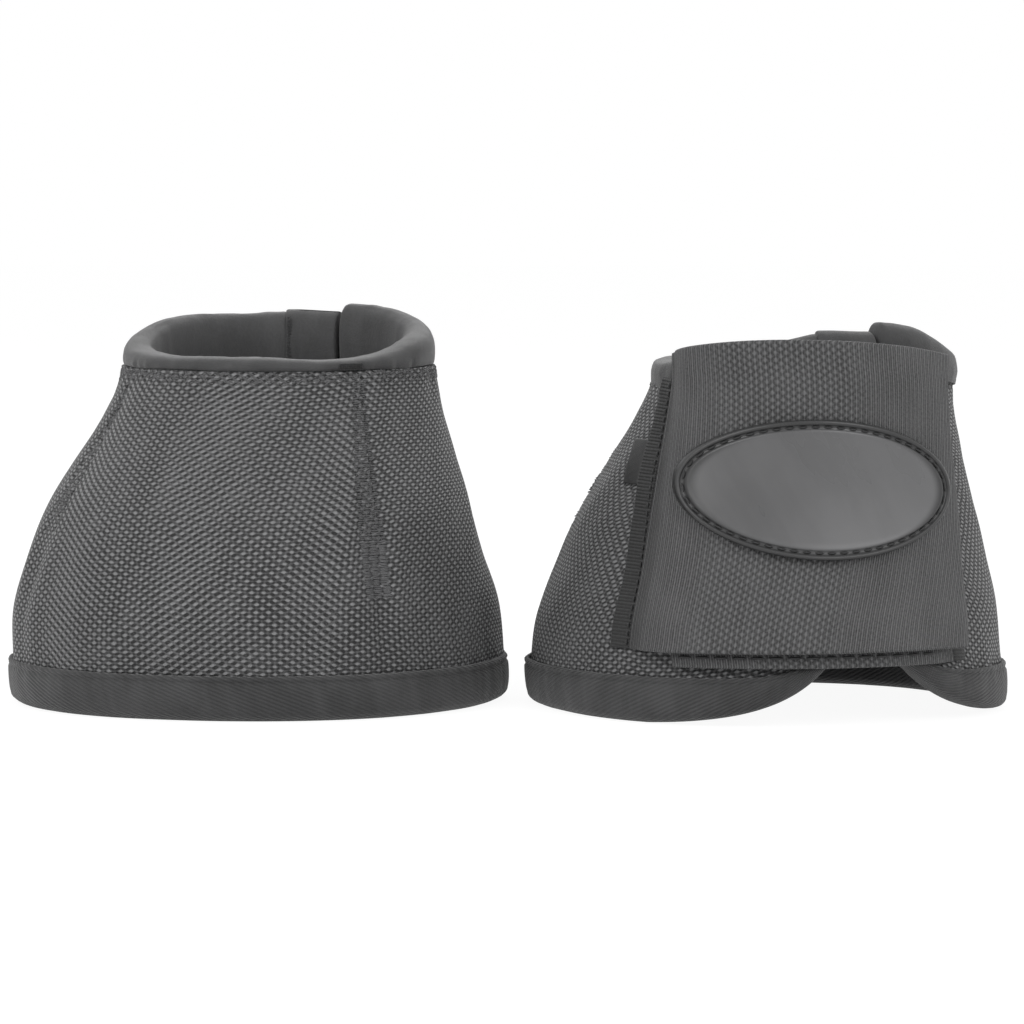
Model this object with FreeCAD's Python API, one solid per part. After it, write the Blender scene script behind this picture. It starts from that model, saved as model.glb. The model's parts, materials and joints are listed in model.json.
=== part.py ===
# A pair of bell boots (overreach boots) for a horse's front feet, standing side by side.
# Each boot is a padded bell: nylon skin, foam and lining, with a soft rolled collar round the
# pastern, a bound lower edge round the hoof, and a double hook-and-loop closure at the rear.
# The two boots are mirror images of each other. Millimetres, +Z up, the floor at z = 0.
#
# A place on a boot is given by three values: its height, its angle in degrees round the boot
# from the middle of the rear (positive towards the side where the inner flap is sewn), and how
# far it lies outside the nylon skin's outer face.

import FreeCAD, Part
import math
import os

os.makedirs("parts", exist_ok=True)

# --- bell ---
shell_height = 100.0  # floor to the top edge of the bell
hem_half_width = 71.6  # half the side-to-side width of the bell at the floor
neck_half_width = 47.0  # the same at the top edge
hem_extra_depth = 3.0  # how much further the bell reaches front and rear than to the sides
rear_lean = 19.0  # how far the collar's centre lies behind the hem's centre
hem_squareness = 2.16  # exponent of the oval section at the floor: 2 is an ellipse
neck_squareness = 2.0
flare_shares = (1.0, 1.025, 1.0, 0.846, 0.667, 0.425, 0.175, 0.0)  # hem to neck, evenly spaced
lean_shares = (0.10, 0.0, -0.08, -0.08, 0.05, 0.35, 0.72, 1.0)
stations_per_share = 2  # sections of each lofted piece between two of the shares above
layer_points = 91  # points of a section of the bell's wall
right_boot_squeeze = 4.0  # the right boot is drawn this much narrower at its hem

# --- wall ---
skin_thickness = 1.2
foam_thickness = 4.5
lining_thickness = 0.8
bond_gap = 0.35  # between pieces that are glued or sewn face to face
free_gap = 0.4  # between pieces that come apart
fold_gap = 0.5  # between the wall and the tape folded round its edges
slit_half_width = 3.0  # half the gap between the two ends of the bell at the rear

# --- bound edge ---
hem_height = 13.5
binding_thickness = 1.5
binding_sole = 2.5  # tape under the wall's lower edge
binding_stations = 121  # places at which the tape's section is set out along its length
binding_crowding = 0.7  # below 1 sets them closer together at the rear arch
flat_sole_share = 0.5  # how much of the tape's length lies flat on the floor
floor_tolerance = 0.001
underside_inset = 2.1  # how far the flat underside stands in from the binding's faces
arch_height = 25.0  # top of the arch at the rear
arch_spread = 19.5  # where the arch has fallen to about half its height
arch_toe = 3.0  # how far the arch's formula runs below the floor

# --- collar ---
collar_width = 9.4  # from its outer side, flush with the skin, to its inner side
collar_front = 4.0  # how far it stands above the bell's top edge at the toe
collar_rise = 8.9  # how much higher it stands at the rear
collar_rise_start = 20.0  # degrees from the middle of the toe over which it rises
collar_rise_end = 150.0
collar_squareness = 2.6
collar_skin = 0.9
roll_end_left = 13.0  # degrees from the rear's middle to the roll's end on the outer flap's side
roll_end_right = 9.0
left_end_rise = 1.6  # how much more the roll rises towards each end, and over how many degrees
left_end_length = 35.0
right_end_rise = 4.2
right_end_length = 75.0
tongue_thickness = 4.0
tongue_height = 14.4

# --- darts over the toe's two sides ---
dart_angle = 130.5
dart_top_drop = 3.0  # below the top edge
dart_foot = 51.5  # height where the two rows of stitches end
dart_spread_top = 1.0  # half the distance between its two rows
dart_spread_foot = 3.6
dart_pitch = 3.6
tack_width = 8.0
tack_length = 16.0
tack_thickness = 0.7
thread_radius = 0.4
stitch_share = 0.72  # how much of its pitch one stitch fills

# --- closure ---
flap_bottom = 21.5
flap_top = 110.0
flap_thickness = 1.6
root_top_angle = 76.0  # where the outer flap's stitched hinge line meets its top edge
root_bottom_angle = 58.0
free_top_angle = 34.0
free_bottom_angle = 24.0
margin_width = 7.0  # the flap's sewn-down margin beyond the stitches
margin_thickness = 1.2
root_pitch = 4.8
inner_bottom = 18.5
inner_top = 96.0
inner_thickness = 1.2
inner_root_top_angle = 31.0
inner_root_bottom_angle = 24.0
inner_free_top_angle = 52.0
inner_free_bottom_angle = 46.0
inner_margin_width = 6.0
hook_thickness = 0.7
loop_thickness = 0.8
loop_bottom = 26.0
tape_inset = 2.0  # hooks and loops stop this far inside the edge of what they are sewn to
hook_length_angle = 26.0
outer_rise_angle = 12.0  # the angle over which a flap climbs from its root to its full lift
inner_rise_angle = 7.0
inner_row_height = 3.2  # the inner flap's lower row of stitches above its edge

# --- badge and label ---
badge_half_length = 41.2
badge_half_height = 20.3
badge_angle = -12.7
badge_height = 68.6
badge_thickness = 2.3
badge_groove_inset = 1.8
badge_groove_width = 2.0
badge_groove_depth = 0.7
badge_pitch = 4.9
badge_turn = 2.5
label_height = 11.4
label_reach = 7.0
label_thickness = 0.6
label_middle = 79.0

# --- how the pair stands ---
pair_gap = 6.0  # between the two hems
left_turn = -17.0
right_turn = 203.0
right_forward = 15.0  # the right boot stands this much nearer the front

V = FreeCAD.Vector
wall_thickness = skin_thickness + foam_thickness + lining_thickness + 2 * bond_gap
inner_lift = bond_gap + loop_thickness + free_gap + hook_thickness + bond_gap
inner_face = inner_lift + inner_thickness
outer_lift = inner_face + bond_gap + loop_thickness + free_gap + hook_thickness + bond_gap
outer_face = outer_lift + flap_thickness
margin_face = bond_gap + margin_thickness


def smooth(values, share):
    """The value at a share of the height, on an even curve through evenly spaced values."""
    place = min(max(share, 0.0), 1.0) * (len(values) - 1)
    low = min(int(place), len(values) - 2)
    t = place - low
    before = values[max(low - 1, 0)]
    start, end = values[low], values[low + 1]
    after = values[min(low + 2, len(values) - 1)]
    slope_in = (end - before) / 2
    slope_out = (after - start) / 2
    bend = t * t * (3 - 2 * t)
    return start + (end - start) * bend + slope_in * t * (1 - t) ** 2 - slope_out * t * t * (1 - t)


class Bell:
    """The form that every piece of one boot follows."""

    def __init__(self, squeeze):
        self.squeeze = squeeze

    def share(self, height):
        return min(max(height / shell_height, 0.0), 1.0)

    def half_width(self, height):
        share = self.share(height)
        flare = smooth(flare_shares, share)
        full = neck_half_width + (hem_half_width - neck_half_width) * flare
        return full - self.squeeze * (1 - share / 2)

    def centre(self, height):
        return rear_lean * smooth(lean_shares, self.share(height))

    def reach(self, height, angle, out=0.0):
        """Distance from the bell's centre line to its face, plus what lies outside it."""
        share = self.share(height)
        side = self.half_width(height) + out
        depth = side + hem_extra_depth * (1 - share)
        power = hem_squareness + (neck_squareness - hem_squareness) * share
        turn = math.radians(angle)
        across = abs(math.sin(turn) / side) ** power
        along = abs(math.cos(turn) / depth) ** power
        return (across + along) ** (-1 / power)

    def spot(self, height, angle, out=0.0, rise=0.0):
        reach = self.reach(height, angle, out)
        turn = math.radians(angle)
        along = self.centre(height) + reach * math.cos(turn)
        return V(-reach * math.sin(turn), along, height + rise)

    def degrees(self, height, length):
        """The angle that a length covers along the face at a height."""
        return math.degrees(length / self.half_width(height))


def eased(value):
    """0 up to 0 and 1 from 1 on, with an even climb between them."""
    t = min(max(value, 0.0), 1.0)
    return t * t * (3 - 2 * t)


def curve(points):
    """A smooth edge through points. Equal steps from point to point keep lofts between such
    edges light and close to their sections."""
    line = Part.BSplineCurve()
    line.interpolate(Points=points, Parameters=[float(i) for i in range(len(points))])
    return line.toShape()


def ring_curve(points):
    line = Part.BSplineCurve()
    steps = [float(i) for i in range(len(points) + 1)]
    line.interpolate(Points=points, PeriodicFlag=True, Parameters=steps)
    return line.toShape()


def between(start, end, count):
    return [start + (end - start) * i / (count - 1) for i in range(count)]


def loft(sections):
    solid = Part.makeLoft(sections, True, False)
    if solid.Volume < 0:
        solid.reverse()
    return solid


def sheet(bell, heights, start, end, inside, outside, count):
    """A bent sheet between two angles. start, end: angle at a height. inside, outside: how far
    its two faces lie outside the skin, at a height and a share of the way from start to end."""
    sections = []
    for height in heights:
        first, last = start(height), end(height)
        shares = between(0.0, 1.0, count)
        outer = [bell.spot(height, first + (last - first) * s, outside(height, s)) for s in shares]
        inner = [bell.spot(height, first + (last - first) * s, inside(height, s)) for s in shares]
        inner.reverse()
        edges = [
            curve(outer),
            Part.LineSegment(outer[-1], inner[0]).toShape(),
            curve(inner),
            Part.LineSegment(inner[-1], outer[0]).toShape(),
        ]
        sections.append(Part.Wire(edges))
    return loft(sections)


def level(value):
    return lambda height, share: value


def constant(value):
    return lambda height: value


def slanted(bottom, bottom_value, top, top_value):
    """A value that runs evenly from one height to another, such as an edge's angle."""
    return lambda h: bottom_value + (top_value - bottom_value) * (h - bottom) / (top - bottom)


def heights_from(bottom, top):
    """Section heights from bottom to top, with the bell's own stations between them."""
    steps = stations_per_share * (len(flare_shares) - 1)
    stations = [shell_height * i / steps for i in range(steps + 1)]
    near = shell_height / steps / 3
    return [bottom] + [h for h in stations if bottom + near < h < top - near] + [top]


def slit_angle(bell, height, half_gap, out):
    """The angle at which the face lies half_gap to the side of the rear's middle."""
    angle = 0.0
    for _ in range(8):
        angle = math.degrees(math.asin(half_gap / bell.reach(height, angle, out)))
    return angle


def bell_layer(bell, bottom, top, inside, outside, half_gap):
    """A layer of the bell's wall, from one side of the rear slit round the toe to the other."""
    return sheet(
        bell,
        heights_from(bottom, top),
        lambda h: slit_angle(bell, h, half_gap, outside),
        lambda h: 360.0 - slit_angle(bell, h, half_gap, outside),
        level(inside),
        level(outside),
        layer_points,
    )


def arch_line(across, lift):
    """Height of the rear arch's edge at a distance from the middle, raised by lift."""
    return (arch_height + arch_toe) / (1 + (across / arch_spread) ** 2) - arch_toe + lift


def rear_prism(points):
    """A block through the rear half of a boot, from an outline of (across, height) points."""
    corners = [V(x, 0.0, z) for x, z in points]
    outline = curve(corners)
    close = Part.LineSegment(corners[-1], corners[0]).toShape()
    face = Part.Face(Part.Wire([outline, close]))
    return face.extrude(V(0.0, hem_half_width * 2, 0.0))


def arch_block(lift):
    """Everything inside the rear arch, with its edge raised by lift."""
    half = arch_spread * math.sqrt((arch_height + 2 * arch_toe + lift) / arch_toe)
    points = [(x, arch_line(x, lift) - 0.001) for x in between(-half, half, 33)]
    return rear_prism(points)


def arch_floor(across):
    """Height of the bell's lower edge at the rear: the arch, down to the floor beside it."""
    return max(arch_line(across, 0.0), 0.0)


def band_top(across):
    """Height of the binding's upper edge at the rear, where it runs up round the arch."""
    return hem_height + arch_height / (1 + (across / (arch_spread * 0.72)) ** 4)


def strip_face(a, b):
    """The face between two edges: one flat face where both lie on the floor."""
    if max(a.BoundBox.ZMax, b.BoundBox.ZMax) > floor_tolerance:
        return Part.makeRuledSurface(a, b)
    sides = []
    for one, other in zip(a.Vertexes, b.Vertexes):
        sides.append(Part.LineSegment(one.Point, other.Point).toShape())
    return Part.Face(Part.Wire([a, sides[1], b, sides[0]]))


def folded(rails, breaks=()):
    """A solid whose long edges run through rows of points, with a flat face at each end. The
    edges are divided at the breaks, which count along a row."""
    stops = [0, *breaks, len(rails[0]) - 1]
    faces = []
    for first, last in zip(stops, stops[1:]):
        edges = [curve(rail[first : last + 1]) for rail in rails]
        faces += [strip_face(a, b) for a, b in zip(edges, edges[1:] + edges[:1])]
    for end in (0, -1):
        corners = [rail[end] for rail in rails]
        faces.append(Part.Face(Part.makePolygon(corners + corners[:1])))
    shell = Part.makeShell(faces)
    shell.sewShape()
    solid = Part.Solid(shell)
    if solid.Volume < 0:
        solid.reverse()
    return solid


def hem_spot(bell, share, out, edge, up):
    """A point of the binding: share runs from one end of the hem, at -1, to the other, at 1."""
    height = hem_height
    for _ in range(6):
        end = slit_angle(bell, height, slit_half_width, out)
        turned = math.copysign(abs(share) ** binding_crowding, share)
        angle = 180.0 + turned * (180.0 - end)
        across = bell.reach(height, angle, out) * math.sin(math.radians(angle))
        behind = math.cos(math.radians(angle)) > 0
        if edge == "top":
            height = band_top(across) if behind else hem_height
        else:
            height = (arch_floor(across) if behind else 0.0) + up
    return bell.spot(height, angle, out)


def hem_binding(bell):
    """Soft tape folded round the bell's lower edge and up round the rear arch."""
    outer = binding_thickness
    inner = -wall_thickness - binding_thickness
    soft = underside_inset
    profile = (
        (outer, "top", 0.0),
        (outer, "floor", soft * 1.4),
        (outer - soft * 0.3, "floor", soft * 0.45),
        (outer - soft, "floor", 0.0),
        (inner + soft, "floor", 0.0),
        (inner + soft * 0.3, "floor", soft * 0.45),
        (inner, "floor", soft * 1.4),
        (inner, "top", 0.0),
        (-wall_thickness - fold_gap, "top", 0.0),
        (-wall_thickness - fold_gap, "floor", binding_sole),
        (fold_gap, "floor", binding_sole),
        (fold_gap, "top", 0.0),
    )
    shares = between(-1.0, 1.0, binding_stations)
    rails = [[hem_spot(bell, share, *corner) for share in shares] for corner in profile]
    middle = binding_stations // 2
    flat = int(flat_sole_share * middle)
    return folded(rails, (middle - flat, middle + flat))


def slit_binding(bell):
    """The same tape, up the two ends of the bell from the arch to the collar."""
    outer = binding_thickness
    inner = -wall_thickness - binding_thickness
    near = slit_half_width
    far = near + hem_height * 0.45
    core = near + binding_thickness
    profile = (
        (near, outer),
        (far, outer),
        (far, fold_gap),
        (core, fold_gap),
        (core, -wall_thickness - fold_gap),
        (far, -wall_thickness - fold_gap),
        (far, inner),
        (near, inner),
    )
    heights = heights_from(band_top(near) + free_gap, shell_height - bond_gap)
    strips = []
    for side in (-1, 1):
        rails = []
        for across, out in profile:
            angles = [side * slit_angle(bell, h, across, out) for h in heights]
            rails.append([bell.spot(h, angle, out) for h, angle in zip(heights, angles)])
        strips.append(folded(rails))
    return Part.makeCompound(strips)


def collar_height(angle):
    """How far the collar stands above the bell's top edge, at an angle from 0 to 360."""
    from_toe = abs(angle - 180.0)
    climb = eased((from_toe - collar_rise_start) / (collar_rise_end - collar_rise_start))
    near_right = eased(1.0 - (angle - roll_end_right) / right_end_length)
    near_left = eased(1.0 - (360.0 - roll_end_left - angle) / left_end_length)
    ends = right_end_rise * near_right + left_end_rise * near_left
    return collar_front + collar_rise * climb + ends


def roll_section(bell, angle, inset):
    half_height = (collar_height(angle) - bond_gap) / 2
    centre = bell.spot(shell_height, angle, -collar_width / 2, bond_gap + half_height)
    outward = (bell.spot(shell_height, angle, 0.0, bond_gap + half_height) - centre).normalize()
    points = []
    for i in range(16):
        turn = 2 * math.pi * i / 16
        across = rounded(math.cos(turn)) * (collar_width / 2 - inset)
        up = rounded(math.sin(turn)) * (half_height - inset)
        points.append(centre + outward * across + V(0, 0, up))
    return Part.Wire([ring_curve(points)])


def rounded(value):
    """A sine or cosine drawn out, so that the oval it makes has fuller corners."""
    return math.copysign(abs(value) ** (2 / collar_squareness), value)


def roll(bell, inset):
    """The collar's soft roll, as its cover's outside or as what lies an inset inside it."""
    end_inset = bell.degrees(shell_height, inset)
    first = roll_end_right + end_inset
    last = 360.0 - roll_end_left - end_inset
    return loft([roll_section(bell, angle, inset) for angle in between(first, last, 37)])


def stitch(start, end, radius):
    along = end - start
    return Part.makeCylinder(radius, along.Length, start, along)


def stitch_row(spots):
    """One thread stitch between each pair of spots, as a group of separate solids."""
    return [stitch(start, end, thread_radius) for start, end in spots]


def dart_rows(bell):
    spots = []
    top = shell_height - dart_top_drop
    count = int((top - dart_foot) / dart_pitch)
    spread = slanted(dart_foot, dart_spread_foot, top, dart_spread_top)
    out = thread_radius + bond_gap
    for side in (-1, 1):
        for row in (-1, 1):
            for i in range(count):
                low = dart_foot + (top - dart_foot) * i / count
                high = low + (top - dart_foot) / count * stitch_share
                at = [side * dart_angle + row * bell.degrees(h, spread(h)) for h in (low, high)]
                spots.append((bell.spot(low, at[0], out), bell.spot(high, at[1], out)))
    return Part.makeCompound(stitch_row(spots))


def dart_tacks(bell):
    """A dense block of thread that locks the foot of each dart."""
    tacks = []
    high = dart_foot - bond_gap
    half = bell.degrees(dart_foot, tack_width / 2)
    for side in (-1, 1):
        tacks.append(
            sheet(
                bell,
                between(high - tack_length, high, 3),
                constant(side * dart_angle - half),
                constant(side * dart_angle + half),
                level(bond_gap),
                level(bond_gap + tack_thickness),
                5,
            )
        )
    return Part.makeCompound(tacks)


def lifted(full, root_share):
    """How far a flap stands off the skin, climbing evenly from its root over root_share."""

    def lift(height, share):
        return bond_gap + free_gap + (full - bond_gap - free_gap) * eased(share / root_share)

    return lift


free_line = slanted(flap_bottom, free_bottom_angle, flap_top, free_top_angle)
inner_free_line = slanted(inner_bottom, -inner_free_bottom_angle, inner_top, -inner_free_top_angle)


def straight_line(bell, bottom, bottom_angle, top, top_angle):
    """Angles along a straight line between two spots on the skin, which a flap can turn about."""
    low, high = bell.spot(bottom, bottom_angle), bell.spot(top, top_angle)

    def angle(height):
        at = low + (high - low) * ((height - bottom) / (top - bottom))
        return math.degrees(math.atan2(-at.x, at.y - bell.centre(height)))

    return angle


def root_line(bell):
    return straight_line(bell, flap_bottom, -root_bottom_angle, flap_top, -root_top_angle)


def inner_root_line(bell):
    bottom_angle, top_angle = inner_root_bottom_angle, inner_root_top_angle
    return straight_line(bell, inner_bottom, bottom_angle, inner_top, top_angle)


def outer_rise():
    return lifted(outer_lift, outer_rise_angle / (root_bottom_angle + free_bottom_angle))


def outer_flap(bell):
    lift = outer_rise()
    root = root_line(bell)
    hinge_gap = bell.degrees(flap_bottom, free_gap)
    return sheet(
        bell,
        heights_from(flap_bottom, flap_top),
        lambda h: root(h) + hinge_gap,
        free_line,
        lift,
        lambda h, s: lift(h, s) + flap_thickness,
        41,
    )


def outer_hooks(bell):
    """Hook tape under the outer flap's free end."""
    face = outer_lift - bond_gap
    root = inner_root_line(bell)
    edge = bell.degrees(flap_bottom, tape_inset)
    return sheet(
        bell,
        heights_from(loop_bottom, inner_top - tape_inset),
        lambda h: root(h) - edge - hook_length_angle,
        lambda h: root(h) - edge,
        level(face - hook_thickness),
        level(face),
        11,
    )


def outer_margin(bell):
    """The outer flap's sewn-down margin, beyond its stitched hinge line."""
    root = root_line(bell)
    return sheet(
        bell,
        heights_from(flap_bottom, shell_height - bond_gap),
        lambda h: root(h) - bell.degrees(h, margin_width),
        root,
        level(bond_gap),
        level(margin_face),
        7,
    )


def root_stitches(bell, line, bottom, top, away):
    """The row of stitches along a flap's root, on its sewn-down margin."""
    count = int((top - bottom) / root_pitch)
    out = margin_face + thread_radius + bond_gap
    spots = []
    for i in range(count):
        low = bottom + (top - bottom) * (i + 0.15) / count
        high = low + (top - bottom) / count * stitch_share
        inset = [away * bell.degrees(h, 1.6 * thread_radius + bond_gap) for h in (low, high)]
        start = bell.spot(low, line(low) + inset[0], out)
        end = bell.spot(high, line(high) + inset[1], out)
        spots.append((start, end))
    return Part.makeCompound(stitch_row(spots))


def inner_rise():
    whole = inner_root_bottom_angle + inner_free_bottom_angle
    return lifted(inner_lift, inner_rise_angle / whole)


def inner_flap(bell):
    lift = inner_rise()
    root = inner_root_line(bell)
    hinge_gap = bell.degrees(inner_bottom, free_gap)
    return sheet(
        bell,
        heights_from(inner_bottom, inner_top),
        lambda h: root(h) - hinge_gap,
        inner_free_line,
        lift,
        lambda h, s: lift(h, s) + inner_thickness,
        41,
    )


def inner_hooks(bell):
    """Hook tape under the inner flap's free end."""
    face = inner_lift - bond_gap
    edge = bell.degrees(inner_bottom, tape_inset)
    return sheet(
        bell,
        heights_from(loop_bottom, inner_top - tape_inset),
        lambda h: inner_free_line(h) + edge,
        lambda h: inner_free_line(h) + edge + hook_length_angle,
        level(face - hook_thickness),
        level(face),
        9,
    )


def inner_loops(bell):
    """Loop tape on the inner flap's outer face, which the outer flap's hooks grip."""
    face = inner_face + bond_gap
    root = inner_root_line(bell)
    edge = bell.degrees(inner_bottom, tape_inset)
    return sheet(
        bell,
        heights_from(loop_bottom, inner_top - tape_inset),
        lambda h: inner_free_line(h) + edge,
        lambda h: root(h) - inner_rise_angle - 2 * edge,
        level(face),
        level(face + loop_thickness),
        15,
    )


def inner_margin(bell):
    root = inner_root_line(bell)
    return sheet(
        bell,
        heights_from(inner_bottom, inner_top),
        root,
        lambda h: root(h) + bell.degrees(h, inner_margin_width),
        level(bond_gap),
        level(margin_face),
        7,
    )


def inner_flap_row(bell):
    """The row of stitches along the inner flap's lower edge, below the outer flap."""
    height = inner_bottom + inner_row_height
    first = -inner_free_bottom_angle + bell.degrees(height, tape_inset)
    last = inner_root_bottom_angle - inner_rise_angle
    pitch = bell.degrees(height, root_pitch)
    out = inner_face + bond_gap + thread_radius
    spots = []
    for i in range(int((last - first) / pitch)):
        at = first + i * pitch
        start = bell.spot(height, at, out)
        spots.append((start, bell.spot(height, at + pitch * stitch_share, out)))
    return Part.makeCompound(stitch_row(spots))


def shell_loops(bell):
    """Loop tape sewn on the skin, which the inner flap's hooks grip."""
    return sheet(
        bell,
        heights_from(loop_bottom + hem_height, inner_top - tape_inset),
        lambda h: inner_free_line(h),
        lambda h: inner_free_line(h) + hook_length_angle + bell.degrees(h, 2 * tape_inset),
        level(bond_gap),
        level(bond_gap + loop_thickness),
        9,
    )


def badge_spot(bell, across, up, out):
    """A spot on the outer flap's face from a badge's own length and height."""
    turn = math.radians(badge_turn)
    side = across * math.cos(turn) + up * math.sin(turn)
    rise = up * math.cos(turn) - across * math.sin(turn)
    height = badge_height + rise
    angle = badge_angle
    for _ in range(6):
        lean = bell.centre(height) - bell.centre(badge_height)
        aside = side + lean * math.sin(math.radians(badge_angle))
        angle = badge_angle + math.degrees(math.asin(aside / bell.reach(height, angle, out)))
        spot = bell.spot(height, angle, out)
        height += badge_height + rise - spot.z
    return bell.spot(height, angle, out)


def oval_block(bell, inset):
    """A block with an oval section that runs out through the outer flap."""
    long_half = badge_half_length - inset
    short_half = badge_half_height - inset
    oval = Part.Ellipse(V(0, 0, 0), long_half, short_half)
    face = Part.Face(Part.Wire([oval.toShape()]))
    block = face.extrude(V(0, 0, neck_half_width * 2))
    block.rotate(V(0, 0, 0), V(0, 0, 1), -badge_turn)
    block.rotate(V(0, 0, 0), V(1, 0, 0), -90)
    block.rotate(V(0, 0, 0), V(0, 0, 1), badge_angle)
    block.translate(V(0, bell.centre(badge_height), badge_height))
    return block


def badge_layer(bell, inside, outside):
    reach = badge_half_height + 2.0
    return sheet(
        bell,
        between(badge_height - reach - 4.0, badge_height + reach, 7),
        constant(badge_angle - 48.0),
        constant(badge_angle + 48.0),
        level(inside),
        level(outside),
        21,
    )


def badge(bell):
    """A moulded rubber oval with a raised rim, a sewing groove and a plain field."""
    base = outer_face + bond_gap
    top = base + badge_thickness
    plate = badge_layer(bell, base, top).common(oval_block(bell, 0.0))
    ring = oval_block(bell, badge_groove_inset).cut(
        oval_block(bell, badge_groove_inset + badge_groove_width)
    )
    groove = badge_layer(bell, top - badge_groove_depth, top + 1.0).common(ring)
    return plate.cut(groove)


def badge_stitches(bell):
    inset = badge_groove_inset + badge_groove_width / 2
    long_half = badge_half_length - inset
    short_half = badge_half_height - inset
    out = outer_face + bond_gap + badge_thickness - badge_groove_depth + thread_radius + bond_gap
    steps = 720
    points = []
    for i in range(steps + 1):
        turn = 2 * math.pi * i / steps
        points.append((long_half * math.cos(turn), short_half * math.sin(turn)))
    lengths = [0.0]
    for (x0, y0), (x1, y1) in zip(points, points[1:]):
        lengths.append(lengths[-1] + math.hypot(x1 - x0, y1 - y0))
    count = round(lengths[-1] / badge_pitch)

    def place(distance):
        index = min(range(steps + 1), key=lambda k: abs(lengths[k] - distance))
        return badge_spot(bell, points[index][0], points[index][1], out)

    spots = []
    for i in range(count):
        start = lengths[-1] * i / count
        spots.append((place(start), place(start + lengths[-1] / count * stitch_share)))
    return Part.makeCompound(stitch_row(spots))


def size_label(bell):
    """A small woven tab that stands out from under the outer flap's margin."""
    root = root_line(bell)

    def edge(h):
        return root(h) - bell.degrees(h, margin_width + bond_gap)

    return sheet(
        bell,
        between(label_middle - label_height / 2, label_middle + label_height / 2, 3),
        lambda h: edge(h) - bell.degrees(h, label_reach),
        edge,
        level(bond_gap),
        level(bond_gap + label_thickness),
        5,
    )


def collar_tongue(bell):
    """The flat unpadded tab that bridges the two ends of the collar's roll."""
    middle = -collar_width / 2
    clear = bell.degrees(shell_height, 2 * free_gap)
    bottom = shell_height + bond_gap
    return sheet(
        bell,
        between(bottom, bottom + tongue_height, 3),
        constant(-roll_end_left + clear),
        constant(roll_end_right - clear),
        level(middle - tongue_thickness / 2),
        level(middle + tongue_thickness / 2),
        7,
    )


def build_boot(squeeze):
    bell = Bell(squeeze)
    half_gap = slit_half_width + binding_thickness + fold_gap
    core_arch = arch_block(binding_sole + 2 * fold_gap)
    foot = binding_sole + fold_gap

    def layer(inside, outside):
        return bell_layer(bell, foot, shell_height, inside, outside, half_gap).cut(core_arch)

    foam_face = -skin_thickness - bond_gap
    lining_face = foam_face - foam_thickness - bond_gap
    return {
        "outer_shell": layer(-skin_thickness, 0.0),
        "foam_core": layer(foam_face - foam_thickness, foam_face),
        "lining": layer(lining_face - lining_thickness, lining_face),
        "hem_binding": hem_binding(bell),
        "slit_binding": slit_binding(bell),
        "collar_cover": roll(bell, 0.0).cut(roll(bell, collar_skin)),
        "collar_foam": roll(bell, collar_skin + bond_gap),
        "collar_tongue": collar_tongue(bell),
        "dart_stitching": dart_rows(bell),
        "dart_bartacks": dart_tacks(bell),
        "shell_loop_tape": shell_loops(bell),
        "outer_flap_margin": outer_margin(bell),
        "outer_flap_stitching": root_stitches(bell, root_line(bell), flap_bottom, shell_height - 1, -1),
        "outer_flap": outer_flap(bell),
        "outer_flap_hooks": outer_hooks(bell),
        "badge": badge(bell),
        "badge_stitching": badge_stitches(bell),
        "inner_flap_margin": inner_margin(bell),
        "inner_flap": inner_flap(bell),
        "inner_flap_hooks": inner_hooks(bell),
        "inner_flap_loops": inner_loops(bell),
        "inner_flap_stitching": inner_flap_row(bell),
        "size_label": size_label(bell),
    }


def placed(shape, mirrored, turn, across, forward):
    if mirrored:
        shape = shape.mirror(V(0, 0, 0), V(1, 0, 0))
    shape.rotate(V(0, 0, 0), V(0, 0, 1), turn)
    shape.translate(V(across, -forward, 0))
    return shape


def extent(shapes):
    """The true box of some shapes, from their faces' own points."""
    box = FreeCAD.BoundBox()
    for shape in shapes:
        for point in shape.tessellate(0.05)[0]:
            box.add(point)
    return box


def main():
    boots = {
        "left": (build_boot(0.0), True, left_turn, 0.0),
        "right": (build_boot(right_boot_squeeze), False, right_turn, right_forward),
    }
    nodes = {}
    for side, (pieces, mirrored, turn, forward) in boots.items():
        hem = extent([placed(pieces["hem_binding"].copy(), mirrored, turn, 0.0, forward)])
        across = -hem.XMax - pair_gap / 2 if side == "left" else -hem.XMin + pair_gap / 2
        for name, shape in pieces.items():
            nodes[side + "_" + name] = placed(shape, mirrored, turn, across, forward)
    box = extent(nodes.values())
    shift = V(-box.Center.x, -box.Center.y, -box.ZMin)
    for name, shape in nodes.items():
        shape.translate(shift)
        shape.exportStep("parts/" + name + ".step")
    return nodes, shift


main()
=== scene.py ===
# A pair of bell boots in fabric, foam, tape, thread and moulded rubber, dressed over the frame.
# Lengths below are millimetres. A place on a boot is a height, an angle in degrees round the bell
# from the middle of the rear, and how far it lies outside the nylon skin.
import json
import math

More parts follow.
